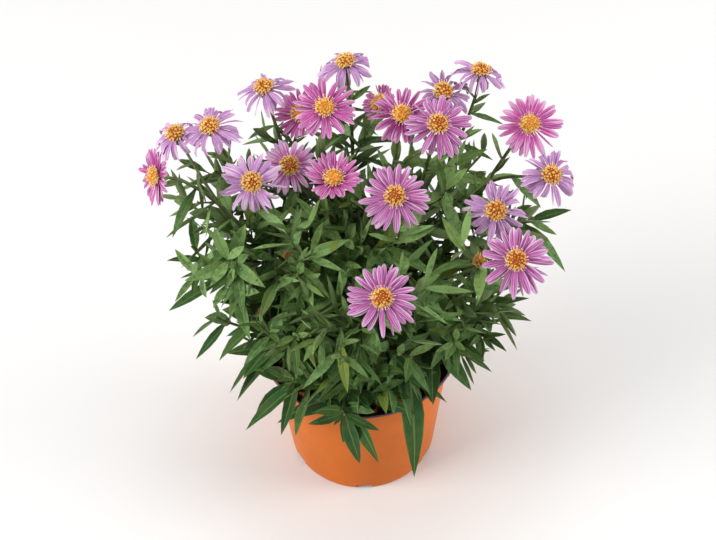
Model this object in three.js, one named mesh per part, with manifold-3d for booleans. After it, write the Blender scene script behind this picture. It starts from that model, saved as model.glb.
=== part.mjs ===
// A bushy aster in a plain nursery pot, in millimetres, +Z up.
// The origin is the middle of the pot's flat base. The best side of the plant faces -Y.
// The plant is a clump of leafy stems that stand in plain holes in the soil. Each stem is one body
// with its branches, leaves and the green cups under its flowers. On each cup sits a ring of rays,
// and on the ring a button of disc florets.

import * as THREE from 'three';
import { mergeVertices } from 'three/addons/utils/BufferGeometryUtils.js';
import Module from 'manifold-3d';

const wasm = await Module();
wasm.setup();

const DEG = Math.PI / 180;
const UP = new THREE.Vector3(0, 0, 1);
const CYLINDER_AXIS = new THREE.Vector3(0, 1, 0);
const GAP = 0.3; // between pieces that touch

// The pot: a 13 cm nursery pot with a flared lip, and drain slots where its wall meets its floor.
const POT = {
  height: 104, foot: 50, shoulder: 59, lip: 65, lipHeight: 6, wall: 1.5, floor: 2.5, sides: 30,
  slots: 6, slotWidth: 11, slotHeight: 4, slotDepth: 4,
};

// The soil fills the pot to a little under the lip. Its top is uneven by `lumps`.
const SOIL = { top: 90, lumps: 2.2, sides: 16, holeDepth: 9, holeMargin: 2.1, holeSides: 4 };

// The flowers. `at` is the middle of the button. `tilt` leans the flower away from upright, towards
// the compass angle `to`, where 270 is the front. `span` is across the rays. `open` is how far
// the rays rise (+) or bend back (-), in degrees. A fresh flower is magenta and an older one lilac.
const BLOOMS = [
  { at: [-117, 13, 242], tilt: 68, to: 205, span: 38, open: 8, shade: 'fresh' },
  { at: [-109, 61, 232], tilt: 16, to: 205, span: 38, open: -36, shade: 'old' },
  { at: [-86, 51, 246], tilt: 14, to: 235, span: 42, open: -24, shade: 'old' },
  { at: [-54, 78, 252], tilt: 8, to: 200, span: 39, open: -32, shade: 'old' },
  { at: [-33, 80, 228], tilt: 28, to: 250, span: 35, open: 18, shade: 'fresh' },
  { at: [-17, 61, 249], tilt: 28, to: 280, span: 40, open: 10, shade: 'fresh' },
  { at: [-4, 94, 257], tilt: 6, to: 200, span: 39, open: -36, shade: 'old' },
  { at: [16, 81, 234], tilt: 40, to: 205, span: 27, open: 34, shade: 'fresh' },
  { at: [29, 55, 247], tilt: 28, to: 270, span: 38, open: 6, shade: 'fresh' },
  { at: [56, 83, 240], tilt: 14, to: 260, span: 39, open: -20, shade: 'old' },
  { at: [50, 41, 251], tilt: 32, to: 270, span: 41, open: -14, shade: 'mid' },
  { at: [80, 95, 246], tilt: 8, to: 60, span: 38, open: -30, shade: 'old' },
  { at: [107, 57, 234], tilt: 44, to: 270, span: 41, open: 4, shade: 'fresh' },
  { at: [117, 23, 224], tilt: 30, to: 285, span: 39, open: -20, shade: 'old' },
  { at: [83, 7, 211], tilt: 40, to: 262, span: 41, open: -10, shade: 'old' },
  { at: [90, -38, 217], tilt: 38, to: 268, span: 43, open: -2, shade: 'mid' },
  { at: [23, 5, 228], tilt: 42, to: 268, span: 42, open: -2, shade: 'mid' },
  { at: [13, -58, 211], tilt: 40, to: 264, span: 43, open: -3, shade: 'mid' },
  { at: [-61, 18, 230], tilt: 40, to: 268, span: 43, open: -8, shade: 'old' },
  { at: [-40, 46, 216], tilt: 36, to: 272, span: 36, open: -2, shade: 'mid' },
  { at: [-13, 29, 221], tilt: 14, to: 270, span: 38, open: 34, shade: 'fresh' },
];

// A ray's width is a share of the flower's span. `shares` are its width and thickness at `stations`.
const RAY = {
  count: 12, slim: 0.125, thick: 1.1, root: 4.4, bend: 8, stations: [0, 0.68, 1], shares: [0.44, 1, 0.5],
};
const HUB = { radius: 6.6, height: 1.8 };
const BUTTON = { radius: 6.2, base: 5, height: 4.2, sides: 8, stud: 0.5, bed: 2.1 };
const CUP = { mouth: 4.4, height: 6 };

// The leaves. A leaf is a keeled blade on an arched line, widest at about two fifths. Its width and
// thickness at `stations` are given by `shares`. A leaf longer than `long` has one more of each.
// It springs from a point `sunk` past the middle of its shoot, as a share of the shoot's radius.
// `turns` and `lifts` bend a leaf clear of what it would cross, in degrees, and it then stays `clear`.
const LEAF = {
  slender: 3.5, keel: 0.28, long: 50, sunk: 0.6, clear: 0.45,
  stations: [0, 0.44, 1], shares: [0, 1, 0],
  longStations: [0, 0.3, 0.64, 1], longShares: [0, 0.92, 0.86, 0],
  turns: [0, 16, -16, 32, -32, 50, -50], lifts: [0, 14, -14],
};

// The large leaves, which mark the plant's outline, are slimmer for their length. `slack` is how much
// longer such a leaf is than the straight way from its root to its tip.
const LARGE = { slender: 4.4, droop: 0.25, slack: 1.06 };

// The kinds of shoot. Leaves stand `spacing` apart from `first` to `last` of the way along,
// each a `turn` round the shoot from the one below, and shrink from `long` to `short`.
// They leave the shoot at `spread` degrees and hang by `droop`.
const SHOOT = {
  flowering: { radius: 1.9, tipRadius: 1.2, sides: 5, segments: 5, turn: 144, spacing: 15,
    first: 0.22, last: 0.88, long: 44, short: 17, spread: 58, droop: 0.2 },
  branch: { radius: 1.3, tipRadius: 1, sides: 4, segments: 3, turn: 90, spacing: 15,
    first: 0.34, last: 0.8, long: 24, short: 15, spread: 54, droop: 0.2 },
  side: { radius: 1.3, tipRadius: 1, sides: 4, segments: 2, turn: 90, spacing: 9.2,
    first: 0.26, last: 0.97, long: 38, short: 22, spread: 60, droop: 0.24 },
  basal: { radius: 1.7, tipRadius: 1.2, sides: 4, segments: 3, turn: 90, spacing: 6.5,
    first: 0.42, last: 0.97, long: 52, short: 32, spread: 66, droop: 0.42 },
};

// The leafy stems. `root` is the distance and compass angle at which a stem leaves the soil.
// Its first shoot is the stem itself and the others leave it part of the way up, at `from`.
// A shoot ends under the flower `bloom`, counted from 1, or at the leafy tip `to`. `large` tells, for
// each large leaf, how far up the shoot it springs and where its tip hangs.
const STEMS = [
  { name: 'stem_far_left', root: [25, 172], shoots: [
    { kind: 'flowering', bloom: 1, large: [[0.81, [-107, 0, 208]]] },
    { kind: 'branch', bloom: 2, from: 0.66 },
    { kind: 'side', to: [-84, 6, 176], from: 0.4 }, { kind: 'side', to: [-102, 34, 196], from: 0.5 }] },
  { name: 'stem_left', root: [15, 145], shoots: [
    { kind: 'flowering', bloom: 3 }, { kind: 'branch', bloom: 19, from: 0.55 },
    { kind: 'side', to: [-48, -24, 186], from: 0.44 }, { kind: 'side', to: [-66, 4, 160], from: 0.3 }] },
  { name: 'stem_left_back', root: [24, 122], shoots: [
    { kind: 'flowering', bloom: 4, large: [[0.81, [-65, 68, 218]]] },
    { kind: 'branch', bloom: 5, from: 0.64 },
    { kind: 'side', to: [-70, 84, 178], from: 0.4 }, { kind: 'side', to: [-78, 40, 186], from: 0.36 }] },
  { name: 'stem_tall', root: [23, 92], shoots: [
    { kind: 'flowering', bloom: 7, large: [
      [0.81, [13, 98, 235]], [0.65, [29, 80, 205]], [0.69, [-28, 72, 202]], [0.74, [14, 77, 210]]] },
    { kind: 'branch', bloom: 6, from: 0.66 }, { kind: 'branch', bloom: 8, from: 0.72 },
    { kind: 'side', to: [-8, 102, 196], from: 0.5 }] },
  { name: 'stem_upper_middle', root: [13, 70], shoots: [
    { kind: 'flowering', bloom: 9 }, { kind: 'side', to: [8, 44, 186], from: 0.5 },
    { kind: 'side', to: [-10, 4, 192], from: 0.3 }] },
  { name: 'stem_right_back', root: [26, 55], shoots: [
    { kind: 'flowering', bloom: 12, large: [
      [0.81, [94, 81, 212]], [0.85, [88, 94, 228]], [0.69, [87, 69, 193]]] },
    { kind: 'branch', bloom: 10, from: 0.62 }, { kind: 'side', to: [84, 88, 182], from: 0.42 }] },
  { name: 'stem_right_upper', root: [15, 25], shoots: [
    { kind: 'flowering', bloom: 11 }, { kind: 'side', to: [62, 22, 186], from: 0.45 },
    { kind: 'side', to: [54, -18, 168], from: 0.3 }, { kind: 'side', to: [84, 26, 196], from: 0.55 }] },
  { name: 'stem_far_right', root: [26, 18], shoots: [
    { kind: 'flowering', bloom: 13, large: [[0.65, [100, 68, 199]]] },
    { kind: 'branch', bloom: 14, from: 0.6 },
    { kind: 'side', to: [111, 36, 170], from: 0.42, large: [
      [0.94, [138, 42, 174]], [0.86, [128, 14, 150]]] }] },
  { name: 'stem_right', root: [21, 340], shoots: [
    { kind: 'flowering', bloom: 16 }, { kind: 'branch', bloom: 15, from: 0.56 },
    { kind: 'side', to: [92, -16, 152], from: 0.4, large: [[0.8, [106, -12, 152]]] }] },
  { name: 'stem_middle', root: [4, 300], shoots: [
    { kind: 'flowering', bloom: 17 }, { kind: 'side', to: [40, -34, 186], from: 0.48 },
    { kind: 'side', to: [4, -32, 166], from: 0.3 }] },
  { name: 'stem_front', root: [21, 278], shoots: [
    { kind: 'flowering', bloom: 18 }, { kind: 'side', to: [-20, -52, 176], from: 0.5 },
    { kind: 'side', to: [30, -60, 158], from: 0.3 }] },
  { name: 'stem_inner_left', root: [8, 185], shoots: [
    { kind: 'flowering', bloom: 21 }, { kind: 'branch', bloom: 20, from: 0.62 },
    { kind: 'side', to: [-36, -22, 192], from: 0.46 }, { kind: 'side', to: [-40, -44, 158], from: 0.3 }] },
  { name: 'shoots_front', root: [31, 262], shoots: [
    { kind: 'basal', to: [-11, -70, 116] },
    { kind: 'basal', to: [32, -48, 132], from: 0.2, large: [[0.94, [31, -78, 80]], [0.8, [46, -60, 106]]] },
    { kind: 'basal', to: [-42, -48, 124], from: 0.22, large: [
      [0.85, [-69, -68, 103]], [0.94, [-62, -66, 108]]] },
    { kind: 'side', to: [-12, -62, 142], from: 0.4 }, { kind: 'side', to: [8, -46, 136], from: 0.2 }] },
  { name: 'shoots_left', root: [32, 205], shoots: [
    { kind: 'basal', to: [-66, -12, 146] },
    { kind: 'side', to: [-90, -10, 140], from: 0.4, large: [[0.85, [-101, -25, 121]]] },
    { kind: 'side', to: [-56, -38, 158], from: 0.4 },
    { kind: 'side', to: [-103, 20, 174], from: 0.35, large: [
      [0.95, [-103, 36, 192]], [0.85, [-120, 14, 168]], [0.91, [-113, 1, 157]],
      [0.68, [-117, -6, 144]], [0.77, [-76, 0, 151]]] }] },
  { name: 'shoots_right', root: [32, 325], shoots: [
    { kind: 'side', to: [62, -30, 142] }, { kind: 'side', to: [58, -46, 156], from: 0.4 },
    { kind: 'side', to: [88, 0, 132], from: 0.4, large: [[0.8, [109, -8, 124]]] }] },
  { name: 'shoots_back', root: [34, 75], shoots: [
    { kind: 'basal', to: [6, 76, 128] }, { kind: 'side', to: [-44, 74, 142], from: 0.3 },
    { kind: 'side', to: [52, 80, 140], from: 0.3 }] },
];

const FINISH = {
  pot: { color: 0xe0762c, roughness: 0.45 },
  soil: { color: 0x2c1c16, roughness: 1 },
  leaf: { color: 0x48703a, roughness: 0.6 },
  fresh: { color: 0xcf68b8, roughness: 0.6 },
  mid: { color: 0xd183c6, roughness: 0.6 },
  old: { color: 0xbf94d0, roughness: 0.6 },
  button: { color: 0xf0a01e, roughness: 0.8 },
};

// A number from 0 to 1 that is always the same for the same whole numbers.
function chance(...numbers) {
  let state = 2166136261;
  for (const number of numbers) {
    state = Math.imul(state ^ number, 16777619);
    state ^= state >>> 13;
    state = Math.imul(state, 1540483477);
    state ^= state >>> 15;
  }
  return (state >>> 0) / 4294967296;
}

const mix = (a, b, share) => a + (b - a) * share;
const vector = (list) => new THREE.Vector3(...list);

function compass(degrees) {
  return new THREE.Vector3(Math.cos(degrees * DEG), Math.sin(degrees * DEG), 0);
}

function meshOf(name, geometry, finish) {
  const material = new THREE.MeshStandardMaterial({ ...FINISH[finish], metalness: 0 });
  const mesh = new THREE.Mesh(geometry, material);
  mesh.name = name;
  return mesh;
}

// A closed geometry as a solid that can be joined and cut.
function solidOf(geometry) {
  const bare = geometry.clone();
  bare.deleteAttribute('normal');
  bare.deleteAttribute('uv');
  const merged = mergeVertices(bare, 1e-4);
  return new wasm.Manifold(new wasm.Mesh({
    numProp: 3,
    vertProperties: merged.attributes.position.array,
    triVerts: new Uint32Array(merged.index.array),
  }));
}

function geometryOf(solid) {
  const mesh = solid.getMesh();
  const geometry = new THREE.BufferGeometry();
  geometry.setAttribute('position', new THREE.BufferAttribute(mesh.vertProperties, 3));
  geometry.setIndex(new THREE.BufferAttribute(mesh.triVerts, 1));
  geometry.computeVertexNormals();
  return geometry;
}

// The directions across a shoot and out from it, square to its chord. Every section of the shoot
// lies this way, so that its sides are flat. The cup at its end is square to the flower instead.
function frameOf(line, end) {
  const along = end || line.getPoint(1).sub(line.getPoint(0)).normalize();
  const side = Math.abs(along.x) < 0.7 ? new THREE.Vector3(1, 0, 0) : new THREE.Vector3(0, 1, 0);
  const across = side.addScaledVector(along, -side.dot(along)).normalize();
  return { along, across, out: across.clone().cross(along) };
}

// A primitive that stands on Y, bent along a line. Its rings go to the given stations of the line.
// `frames` are the directions across and out there, and `corner` gives each corner's place in them.
function bent(primitive, line, stations, frames, corner) {
  const place = primitive.attributes.position;
  const rings = stations.length - 1;
  const { height } = primitive.parameters;
  for (let i = 0; i < place.count; i += 1) {
    const ring = Math.round((place.getY(i) / height + 0.5) * rings);
    const { across, out } = frames[Math.min(ring, frames.length - 1)];
    const [x, z] = corner(Math.atan2(place.getX(i), place.getZ(i)), ring);
    const point = line.getPoint(stations[ring]).addScaledVector(across, x).addScaledVector(out, z);
    place.setXYZ(i, point.x, point.y, point.z);
  }
  return primitive;
}

// The corners of a keeled blade: two edges and, under them, a keel.
function keeled(half, thick, shares) {
  return (angle, ring) => {
    const isKeel = Math.abs(Math.sin(angle)) < 0.5;
    const share = shares[ring];
    return isKeel ? [0, -thick * share] : [Math.sign(Math.sin(angle)) * half * share, 0];
  };
}

// Where a shoot has its rings. Under a flower the last two are the foot and the mouth of its green cup.
function ringsOf(line, kind, bloom) {
  const stations = Array.from({ length: kind.segments + 1 }, (_, i) => i / kind.segments);
  if (bloom) stations.splice(-1, 1, 1 - CUP.height / (3 * line.v3.distanceTo(line.v2)), 1);
  return stations;
}

// The middle of a shoot at a station. The wood runs straight from ring to ring.
function middleOf({ line, stations }, at) {
  const next = stations.findIndex((station) => station > at);
  const share = (at - stations[next - 1]) / (stations[next] - stations[next - 1]);
  return line.getPoint(stations[next - 1]).lerp(line.getPoint(stations[next]), share);
}

function wood({ line, kind, bloom, stations }) {
  const radii = stations.map((station) => mix(kind.radius, kind.tipRadius, station));
  const frames = stations.map(() => frameOf(line));
  if (bloom) {
    radii.splice(-1, 1, CUP.mouth);
    frames.splice(-1, 1, frameOf(line, facing(bloom)));
  }
  const primitive = new THREE.CylinderGeometry(1, 1, 1, kind.sides, stations.length - 1);
  return solidOf(bent(primitive, line, stations, frames, (angle, ring) => (
    [Math.sin(angle) * radii[ring], Math.cos(angle) * radii[ring]])));
}

// The pot is turned from its profile, then slotted at the foot.
function pot() {
  const { height, foot, shoulder, lip, lipHeight, wall, floor, slots, slotDepth } = POT;
  const profile = [
    [0, 0], [foot, 0], [shoulder, height - lipHeight], [lip, height - 1.2], [lip, height],
    [lip - wall, height], [shoulder - wall, height - lipHeight - 1], [foot - wall, floor], [0, floor],
  ].map(([x, y]) => new THREE.Vector2(x, y));
  let body = solidOf(new THREE.LatheGeometry(profile, POT.sides).rotateX(90 * DEG));
  for (let i = 0; i < slots; i += 1) {
    const slot = new THREE.BoxGeometry(2 * slotDepth, POT.slotWidth, 2 * POT.slotHeight);
    body = body.subtract(solidOf(slot.translate(foot, 0, 0).rotateZ((i + 0.5) * 360 / slots * DEG)));
  }
  return body;
}

// The soil follows the pot's inner wall. Each stem stands in a plain hole in it.
function soil(trunks) {
  const { height, foot, shoulder, lipHeight, wall, floor } = POT;
  const bottom = floor + GAP;
  const edge = SOIL.top - 2;
  const slope = (shoulder - foot) / (height - lipHeight - 1 - floor);
  const insideAt = (z) => foot - wall + (z - floor) * slope - 2 * GAP;
  const profile = [
    [0, bottom], [insideAt(bottom), bottom], [insideAt(edge), edge],
    [38, SOIL.top], [18, SOIL.top], [0, SOIL.top],
  ].map(([x, y]) => new THREE.Vector2(x, y));
  const turned = new THREE.LatheGeometry(profile, SOIL.sides).rotateX(90 * DEG);
  const place = turned.attributes.position;
  for (let i = 0; i < place.count; i += 1) {
    if (place.getZ(i) > SOIL.top - 1) {
      const [x, y] = [Math.round(place.getX(i)), Math.round(place.getY(i))];
      place.setZ(i, SOIL.top + SOIL.lumps * Math.sin(x * 0.21 + 1) * Math.sin(y * 0.17 + x * 0.05));
    }
  }
  let body = solidOf(turned);
  for (const { line, kind, stations } of trunks) {
    const wide = kind.radius + SOIL.holeMargin;
    const hole = new THREE.CylinderGeometry(wide, wide, 2 * SOIL.holeDepth, SOIL.holeSides);
    const root = line.getPoint(0);
    const rise = line.getPoint(stations[1]).sub(root).normalize();
    const lean = new THREE.Quaternion().setFromUnitVectors(CYLINDER_AXIS, rise);
    hole.translate(0, SOIL.holeDepth - GAP - 0.5 * kind.radius, 0);
    hole.applyQuaternion(lean).translate(root.x, root.y, root.z);
    body = body.subtract(solidOf(hole));
  }
  return body;
}

function facing({ tilt, to }) {
  return UP.clone().multiplyScalar(Math.cos(tilt * DEG)).addScaledVector(compass(to), Math.sin(tilt * DEG));
}

// Where a flower's ring of rays sits on its green cup.
function seatOf(bloom) {
  return vector(bloom.at).addScaledVector(facing(bloom), -3.5);
}

// A ring of rays round a hub with a side for each. The rays leave it level and then rise or bend back.
function rays(bloom, number) {
  const step = 360 / RAY.count;
  const hub = new THREE.CylinderGeometry(HUB.radius, HUB.radius, HUB.height, RAY.count);
  hub.rotateX(90 * DEG).rotateZ((90 + step / 2) * DEG).translate(0, 0, HUB.height / 2);
  let ring = solidOf(hub);
  const reach = bloom.span / 2;
  for (let i = 0; i < RAY.count; i += 1) {
    const turn = (i + 0.1 * (chance(number, i, 1) - 0.5)) * step;
    const rise = (bloom.open + 14 * (chance(number, i, 2) - 0.5)) * DEG;
    const length = (reach - RAY.bend) * mix(0.92, 1.04, chance(number, i, 3));
    const out = compass(turn);
    const level = HUB.height / 2 + 0.3 - 0.85 * Math.sin(rise);
    const knee = out.clone().multiplyScalar(RAY.bend).setZ(level);
    const tip = knee.clone().addScaledVector(out, length * Math.cos(rise));
    tip.z += length * Math.sin(rise);
    const start = out.clone().multiplyScalar(RAY.root).setZ(level);
    const line = new THREE.QuadraticBezierCurve3(start, knee, tip);
    const primitive = new THREE.CylinderGeometry(1, 1, 1, 3, RAY.stations.length - 1, false, Math.PI);
    const frame = { across: out.clone().cross(UP), out: UP };
    const corner = keeled(RAY.slim * reach, RAY.thick, RAY.shares);
    ring = ring.add(solidOf(bent(primitive, line, RAY.stations, [frame], corner)));
  }
  return ring;
}

// The button is a dome studded with florets: every other point of its rings stands out.
function button(number) {
  const { radius, base, height, sides, stud } = BUTTON;
  const profile = [
    [0, 0], [base, 0], [radius, 0.3 * height], [0.84 * radius, 0.66 * height],
    [0.48 * radius, 0.92 * height], [0, height],
  ].map(([x, y]) => new THREE.Vector2(x, y));
  const dome = new THREE.LatheGeometry(profile, sides).rotateX(90 * DEG);
  const place = dome.attributes.position;
  for (let i = 0; i < place.count; i += 1) {
    const ring = i % profile.length;
    if (ring > 1 && ring < profile.length - 1) {
      const column = Math.floor(i / profile.length) % sides;
      const out = new THREE.Vector3(place.getX(i), place.getY(i), place.getZ(i) - 0.3 * height);
      const push = (ring + column) % 2 ? stud : -0.6 * stud;
      out.setLength(push);
      place.setXYZ(i, place.getX(i) + out.x, place.getY(i) + out.y, place.getZ(i) + out.z);
    }
  }
  return dome.rotateZ(number);
}

// The line that a shoot grows along, from the soil or from part of the way up its stem.
function lineOf(stem, shoot, trunk) {
  const bloom = BLOOMS[shoot.bloom - 1];
  const end = bloom ? seatOf(bloom).addScaledVector(facing(bloom), -GAP) : vector(shoot.to);
  let start;
  let first;
  if (trunk) {
    start = middleOf(trunk, shoot.from);
    first = end.clone().sub(start).normalize().add(trunk.line.getTangent(shoot.from));
    first.normalize().multiplyScalar(0.35 * start.distanceTo(end)).add(start);
  } else {
    const [distance, angle] = stem.root;
    start = compass(angle).multiplyScalar(distance).setZ(SOIL.top - SOIL.holeDepth + GAP);
    first = start.clone().lerp(end, 0.18).setZ(start.z + Math.max(0.4 * (end.z - start.z), 28));
  }
  const arrival = bloom ? facing(bloom) : end.clone().sub(first).normalize().addScaledVector(UP, 0.35);
  const back = arrival.normalize().multiplyScalar(0.22 * start.distanceTo(end));
  return new THREE.CubicBezierCurve3(start, first, end.clone().sub(back), end);
}

// A leaf's arched line and the way it faces, for one way of bending it clear.
function leafLine(leaf, [turn, lift]) {
  const { root, along, out, spread, length, droop } = leaf;
  const away = out.clone().addScaledVector(along, -out.dot(along)).normalize();
  away.applyAxisAngle(along, turn * DEG);
  const lean = (spread + lift) * DEG;
  const aim = along.clone().multiplyScalar(Math.cos(lean)).addScaledVector(away, Math.sin(lean));
  const knee = root.clone().addScaledVector(aim, 0.5 * length);
  const tip = root.clone().addScaledVector(aim, 0.96 * length).addScaledVector(UP, -droop * length);
  const across = aim.clone().cross(along).normalize();
  const face = across.clone().cross(tip.clone().sub(root)).normalize();
  return { line: new THREE.QuadraticBezierCurve3(root, knee, tip), frame: { across, out: face } };
}

// `spare` makes the blade larger all round, to feel for what lies close to it.
function blade(leaf, way, spare = 0) {
  const { line, frame } = leafLine(leaf, way);
  const large = leaf.length > LEAF.long;
  const stations = large ? LEAF.longStations : LEAF.stations;
  const shares = large ? LEAF.longShares : LEAF.shares;
  const width = leaf.length / leaf.slender;
  const corner = keeled(width / 2 + 2 * spare, LEAF.keel * width + 3 * spare, shares);
  const primitive = new THREE.ConeGeometry(1, 1, 3, stations.length - 1, true, Math.PI);
  const made = bent(primitive, line, stations, [frame], corner);
  const lift = frame.out.clone().multiplyScalar(spare);
  return solidOf(made.translate(lift.x, lift.y, lift.z));
}

// The leaves of one shoot, in a spiral round it, each with its size and its place.
function leavesOf(shoot, stemNumber, shootNumber) {
  const { line, kind } = shoot;
  const span = line.getLength();
  const count = Math.round((kind.last - kind.first) * span / kind.spacing) + 1;
  const { along, out } = frameOf(line);
  return Array.from({ length: count }, (_, i) => {
    const draw = (k) => chance(stemNumber, shootNumber, i, k);
    const share = count > 1 ? i / (count - 1) : 0;
    const at = mix(kind.first, kind.last, share);
    const turn = (i + stemNumber) * kind.turn + 180 / kind.sides + 8 * (draw(1) - 0.5);
    const away = out.clone().applyAxisAngle(along, turn * DEG);
    return {
      root: middleOf(shoot, at).addScaledVector(away, -LEAF.sunk * mix(kind.radius, kind.tipRadius, at)),
      along: line.getTangent(at), out: away,
      spread: kind.spread * mix(1.1, 0.8, share) + 12 * (draw(2) - 0.5),
      length: mix(kind.long, kind.short, share) * mix(0.88, 1.12, draw(3)),
      droop: kind.droop * mix(0.5, 1.5, draw(4)), slender: LEAF.slender,
    };
  });
}

// A large leaf, from how far up its shoot it springs and where its tip hangs. It lies level across.
function largeLeaf(shoot, [at, tip]) {
  const root = middleOf(shoot, at);
  const reach = vector(tip).sub(root);
  const length = reach.length() * LARGE.slack;
  const aim = reach.addScaledVector(UP, LARGE.droop * length).normalize();
  return { root, along: UP, out: aim, spread: aim.angleTo(UP) / DEG, length, ...LARGE };
}

// Solids that a new leaf has to stay clear of, each with its box so that far ones are skipped.
const standing = [];

function stand(solid, owner) {
  standing.push({ solid, owner, box: solid.boundingBox() });
  return solid;
}

function isFree(solid, owner) {
  const box = solid.boundingBox();
  return !standing.some((other) => other.owner !== owner
    && box.min.every((low, i) => low < other.box.max[i] && box.max[i] > other.box.min[i])
    && !solid.intersect(other.solid).isEmpty());
}

// A leaf in the first way that is clear of everything else, or null where there is none.
function clearLeaf(leaf, owner) {
  for (const lift of LEAF.lifts) {
    for (const turn of LEAF.turns) {
      if (isFree(blade(leaf, [turn, lift], LEAF.clear), owner)) return blade(leaf, [turn, lift]);
    }
  }
  return null;
}

const plant = new THREE.Group();
plant.name = 'potted_aster';

BLOOMS.forEach((bloom, i) => {
  const number = String(i + 1).padStart(2, '0');
  const flower = new THREE.Group();
  flower.position.copy(seatOf(bloom));
  flower.quaternion.setFromUnitVectors(UP, facing(bloom));
  const ring = geometryOf(rays(bloom, i + 1));
  const dome = button(i + 1).translate(0, 0, BUTTON.bed);
  flower.add(meshOf(`bloom_${number}_rays`, ring, bloom.shade));
  flower.add(meshOf(`bloom_${number}_button`, dome, 'button'));
  flower.updateMatrix();
  for (const shape of [ring, dome]) stand(solidOf(shape.clone().applyMatrix4(flower.matrix)), 'bloom');
  plant.add(flower);
});

const stems = STEMS.map((stem, s) => {
  const shoots = [];
  for (const shoot of stem.shoots) {
    const kind = SHOOT[shoot.kind];
    const bloom = BLOOMS[shoot.bloom - 1];
    const line = lineOf(stem, shoot, shoots[0]);
    shoots.push({ kind, bloom, line, large: shoot.large || [], stations: ringsOf(line, kind, bloom) });
  }
  const body = shoots.map(wood).reduce((whole, shoot) => whole.add(shoot));
  return { name: stem.name, number: s + 1, shoots, body: stand(body, stem.name) };
});

const potBody = stand(pot(), 'pot');
const soilBody = stand(soil(stems.map(({ shoots }) => shoots[0])), 'soil');
plant.add(meshOf('pot', geometryOf(potBody), 'pot'));
plant.add(meshOf('soil', geometryOf(soilBody), 'soil'));

function grow(stem, leaf) {
  const made = clearLeaf(leaf, stem.name);
  if (made) stem.body = stem.body.add(stand(made, `${stem.name} leaf`));
}

for (const stem of stems) {
  for (const shoot of stem.shoots) {
    for (const place of shoot.large) grow(stem, largeLeaf(shoot, place));
  }
}
for (const stem of stems) {
  stem.shoots.forEach((shoot, i) => {
    for (const leaf of leavesOf(shoot, stem.number, i + 1)) grow(stem, leaf);
  });
  plant.add(meshOf(stem.name, geometryOf(stem.body), 'leaf'));
}

export default plant;
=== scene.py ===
import math
from collections import namedtuple
from functools import partial

import bpy
import numpy as np
from mathutils import Matrix, Vector
from mathutils.kdtree import KDTree


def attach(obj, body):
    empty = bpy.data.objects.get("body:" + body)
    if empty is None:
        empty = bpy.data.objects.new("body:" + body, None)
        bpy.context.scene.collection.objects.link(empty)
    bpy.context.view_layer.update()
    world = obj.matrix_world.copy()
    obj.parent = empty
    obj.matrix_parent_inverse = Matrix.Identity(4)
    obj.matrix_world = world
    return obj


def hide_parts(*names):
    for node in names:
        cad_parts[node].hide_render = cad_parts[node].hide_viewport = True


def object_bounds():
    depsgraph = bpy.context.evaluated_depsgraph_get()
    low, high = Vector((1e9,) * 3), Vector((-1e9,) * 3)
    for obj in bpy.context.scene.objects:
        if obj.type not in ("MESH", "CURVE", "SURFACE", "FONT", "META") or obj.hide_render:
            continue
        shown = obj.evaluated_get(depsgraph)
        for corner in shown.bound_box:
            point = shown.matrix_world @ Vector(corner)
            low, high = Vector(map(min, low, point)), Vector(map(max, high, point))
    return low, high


bl_info = {
    "name": "Potted aster",
    "version": (1, 0, 0),
    "blender": (4, 5, 0),
    "location": "View3D > Sidebar > Aster",
    "description": "Dresses a packed potted aster: its pot, soil, leafy stems and flowers",
    "category": "Object",
}

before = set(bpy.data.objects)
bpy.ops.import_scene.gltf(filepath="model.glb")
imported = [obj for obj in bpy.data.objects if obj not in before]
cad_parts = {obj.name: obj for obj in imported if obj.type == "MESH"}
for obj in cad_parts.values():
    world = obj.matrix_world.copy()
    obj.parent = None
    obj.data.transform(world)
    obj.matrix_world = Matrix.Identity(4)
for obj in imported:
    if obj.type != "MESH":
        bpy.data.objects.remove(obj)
CAD_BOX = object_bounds()

# All places and sizes are in millimetres until a mesh is written. The plant's best side faces -Y.
MM = 0.001
UP = np.array((0.0, 0.0, 1.0))
GAP = 0.3

# The pot and its soil, as turned shapes.
POT_HEIGHT, POT_FOOT, POT_SHOULDER, POT_LIP, POT_LIP_HEIGHT = 104, 50, 59, 65, 6
POT_WALL, POT_FLOOR = 1.5, 2.5
SLOT_COUNT, SLOT_WIDTH, SLOT_HEIGHT, SLOT_DEPTH = 6, 11, 4, 4
SOIL_TOP, SOIL_LUMPS, SOIL_BANK, HOLE_DEPTH = 90, 2.2, 8, 9

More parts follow.
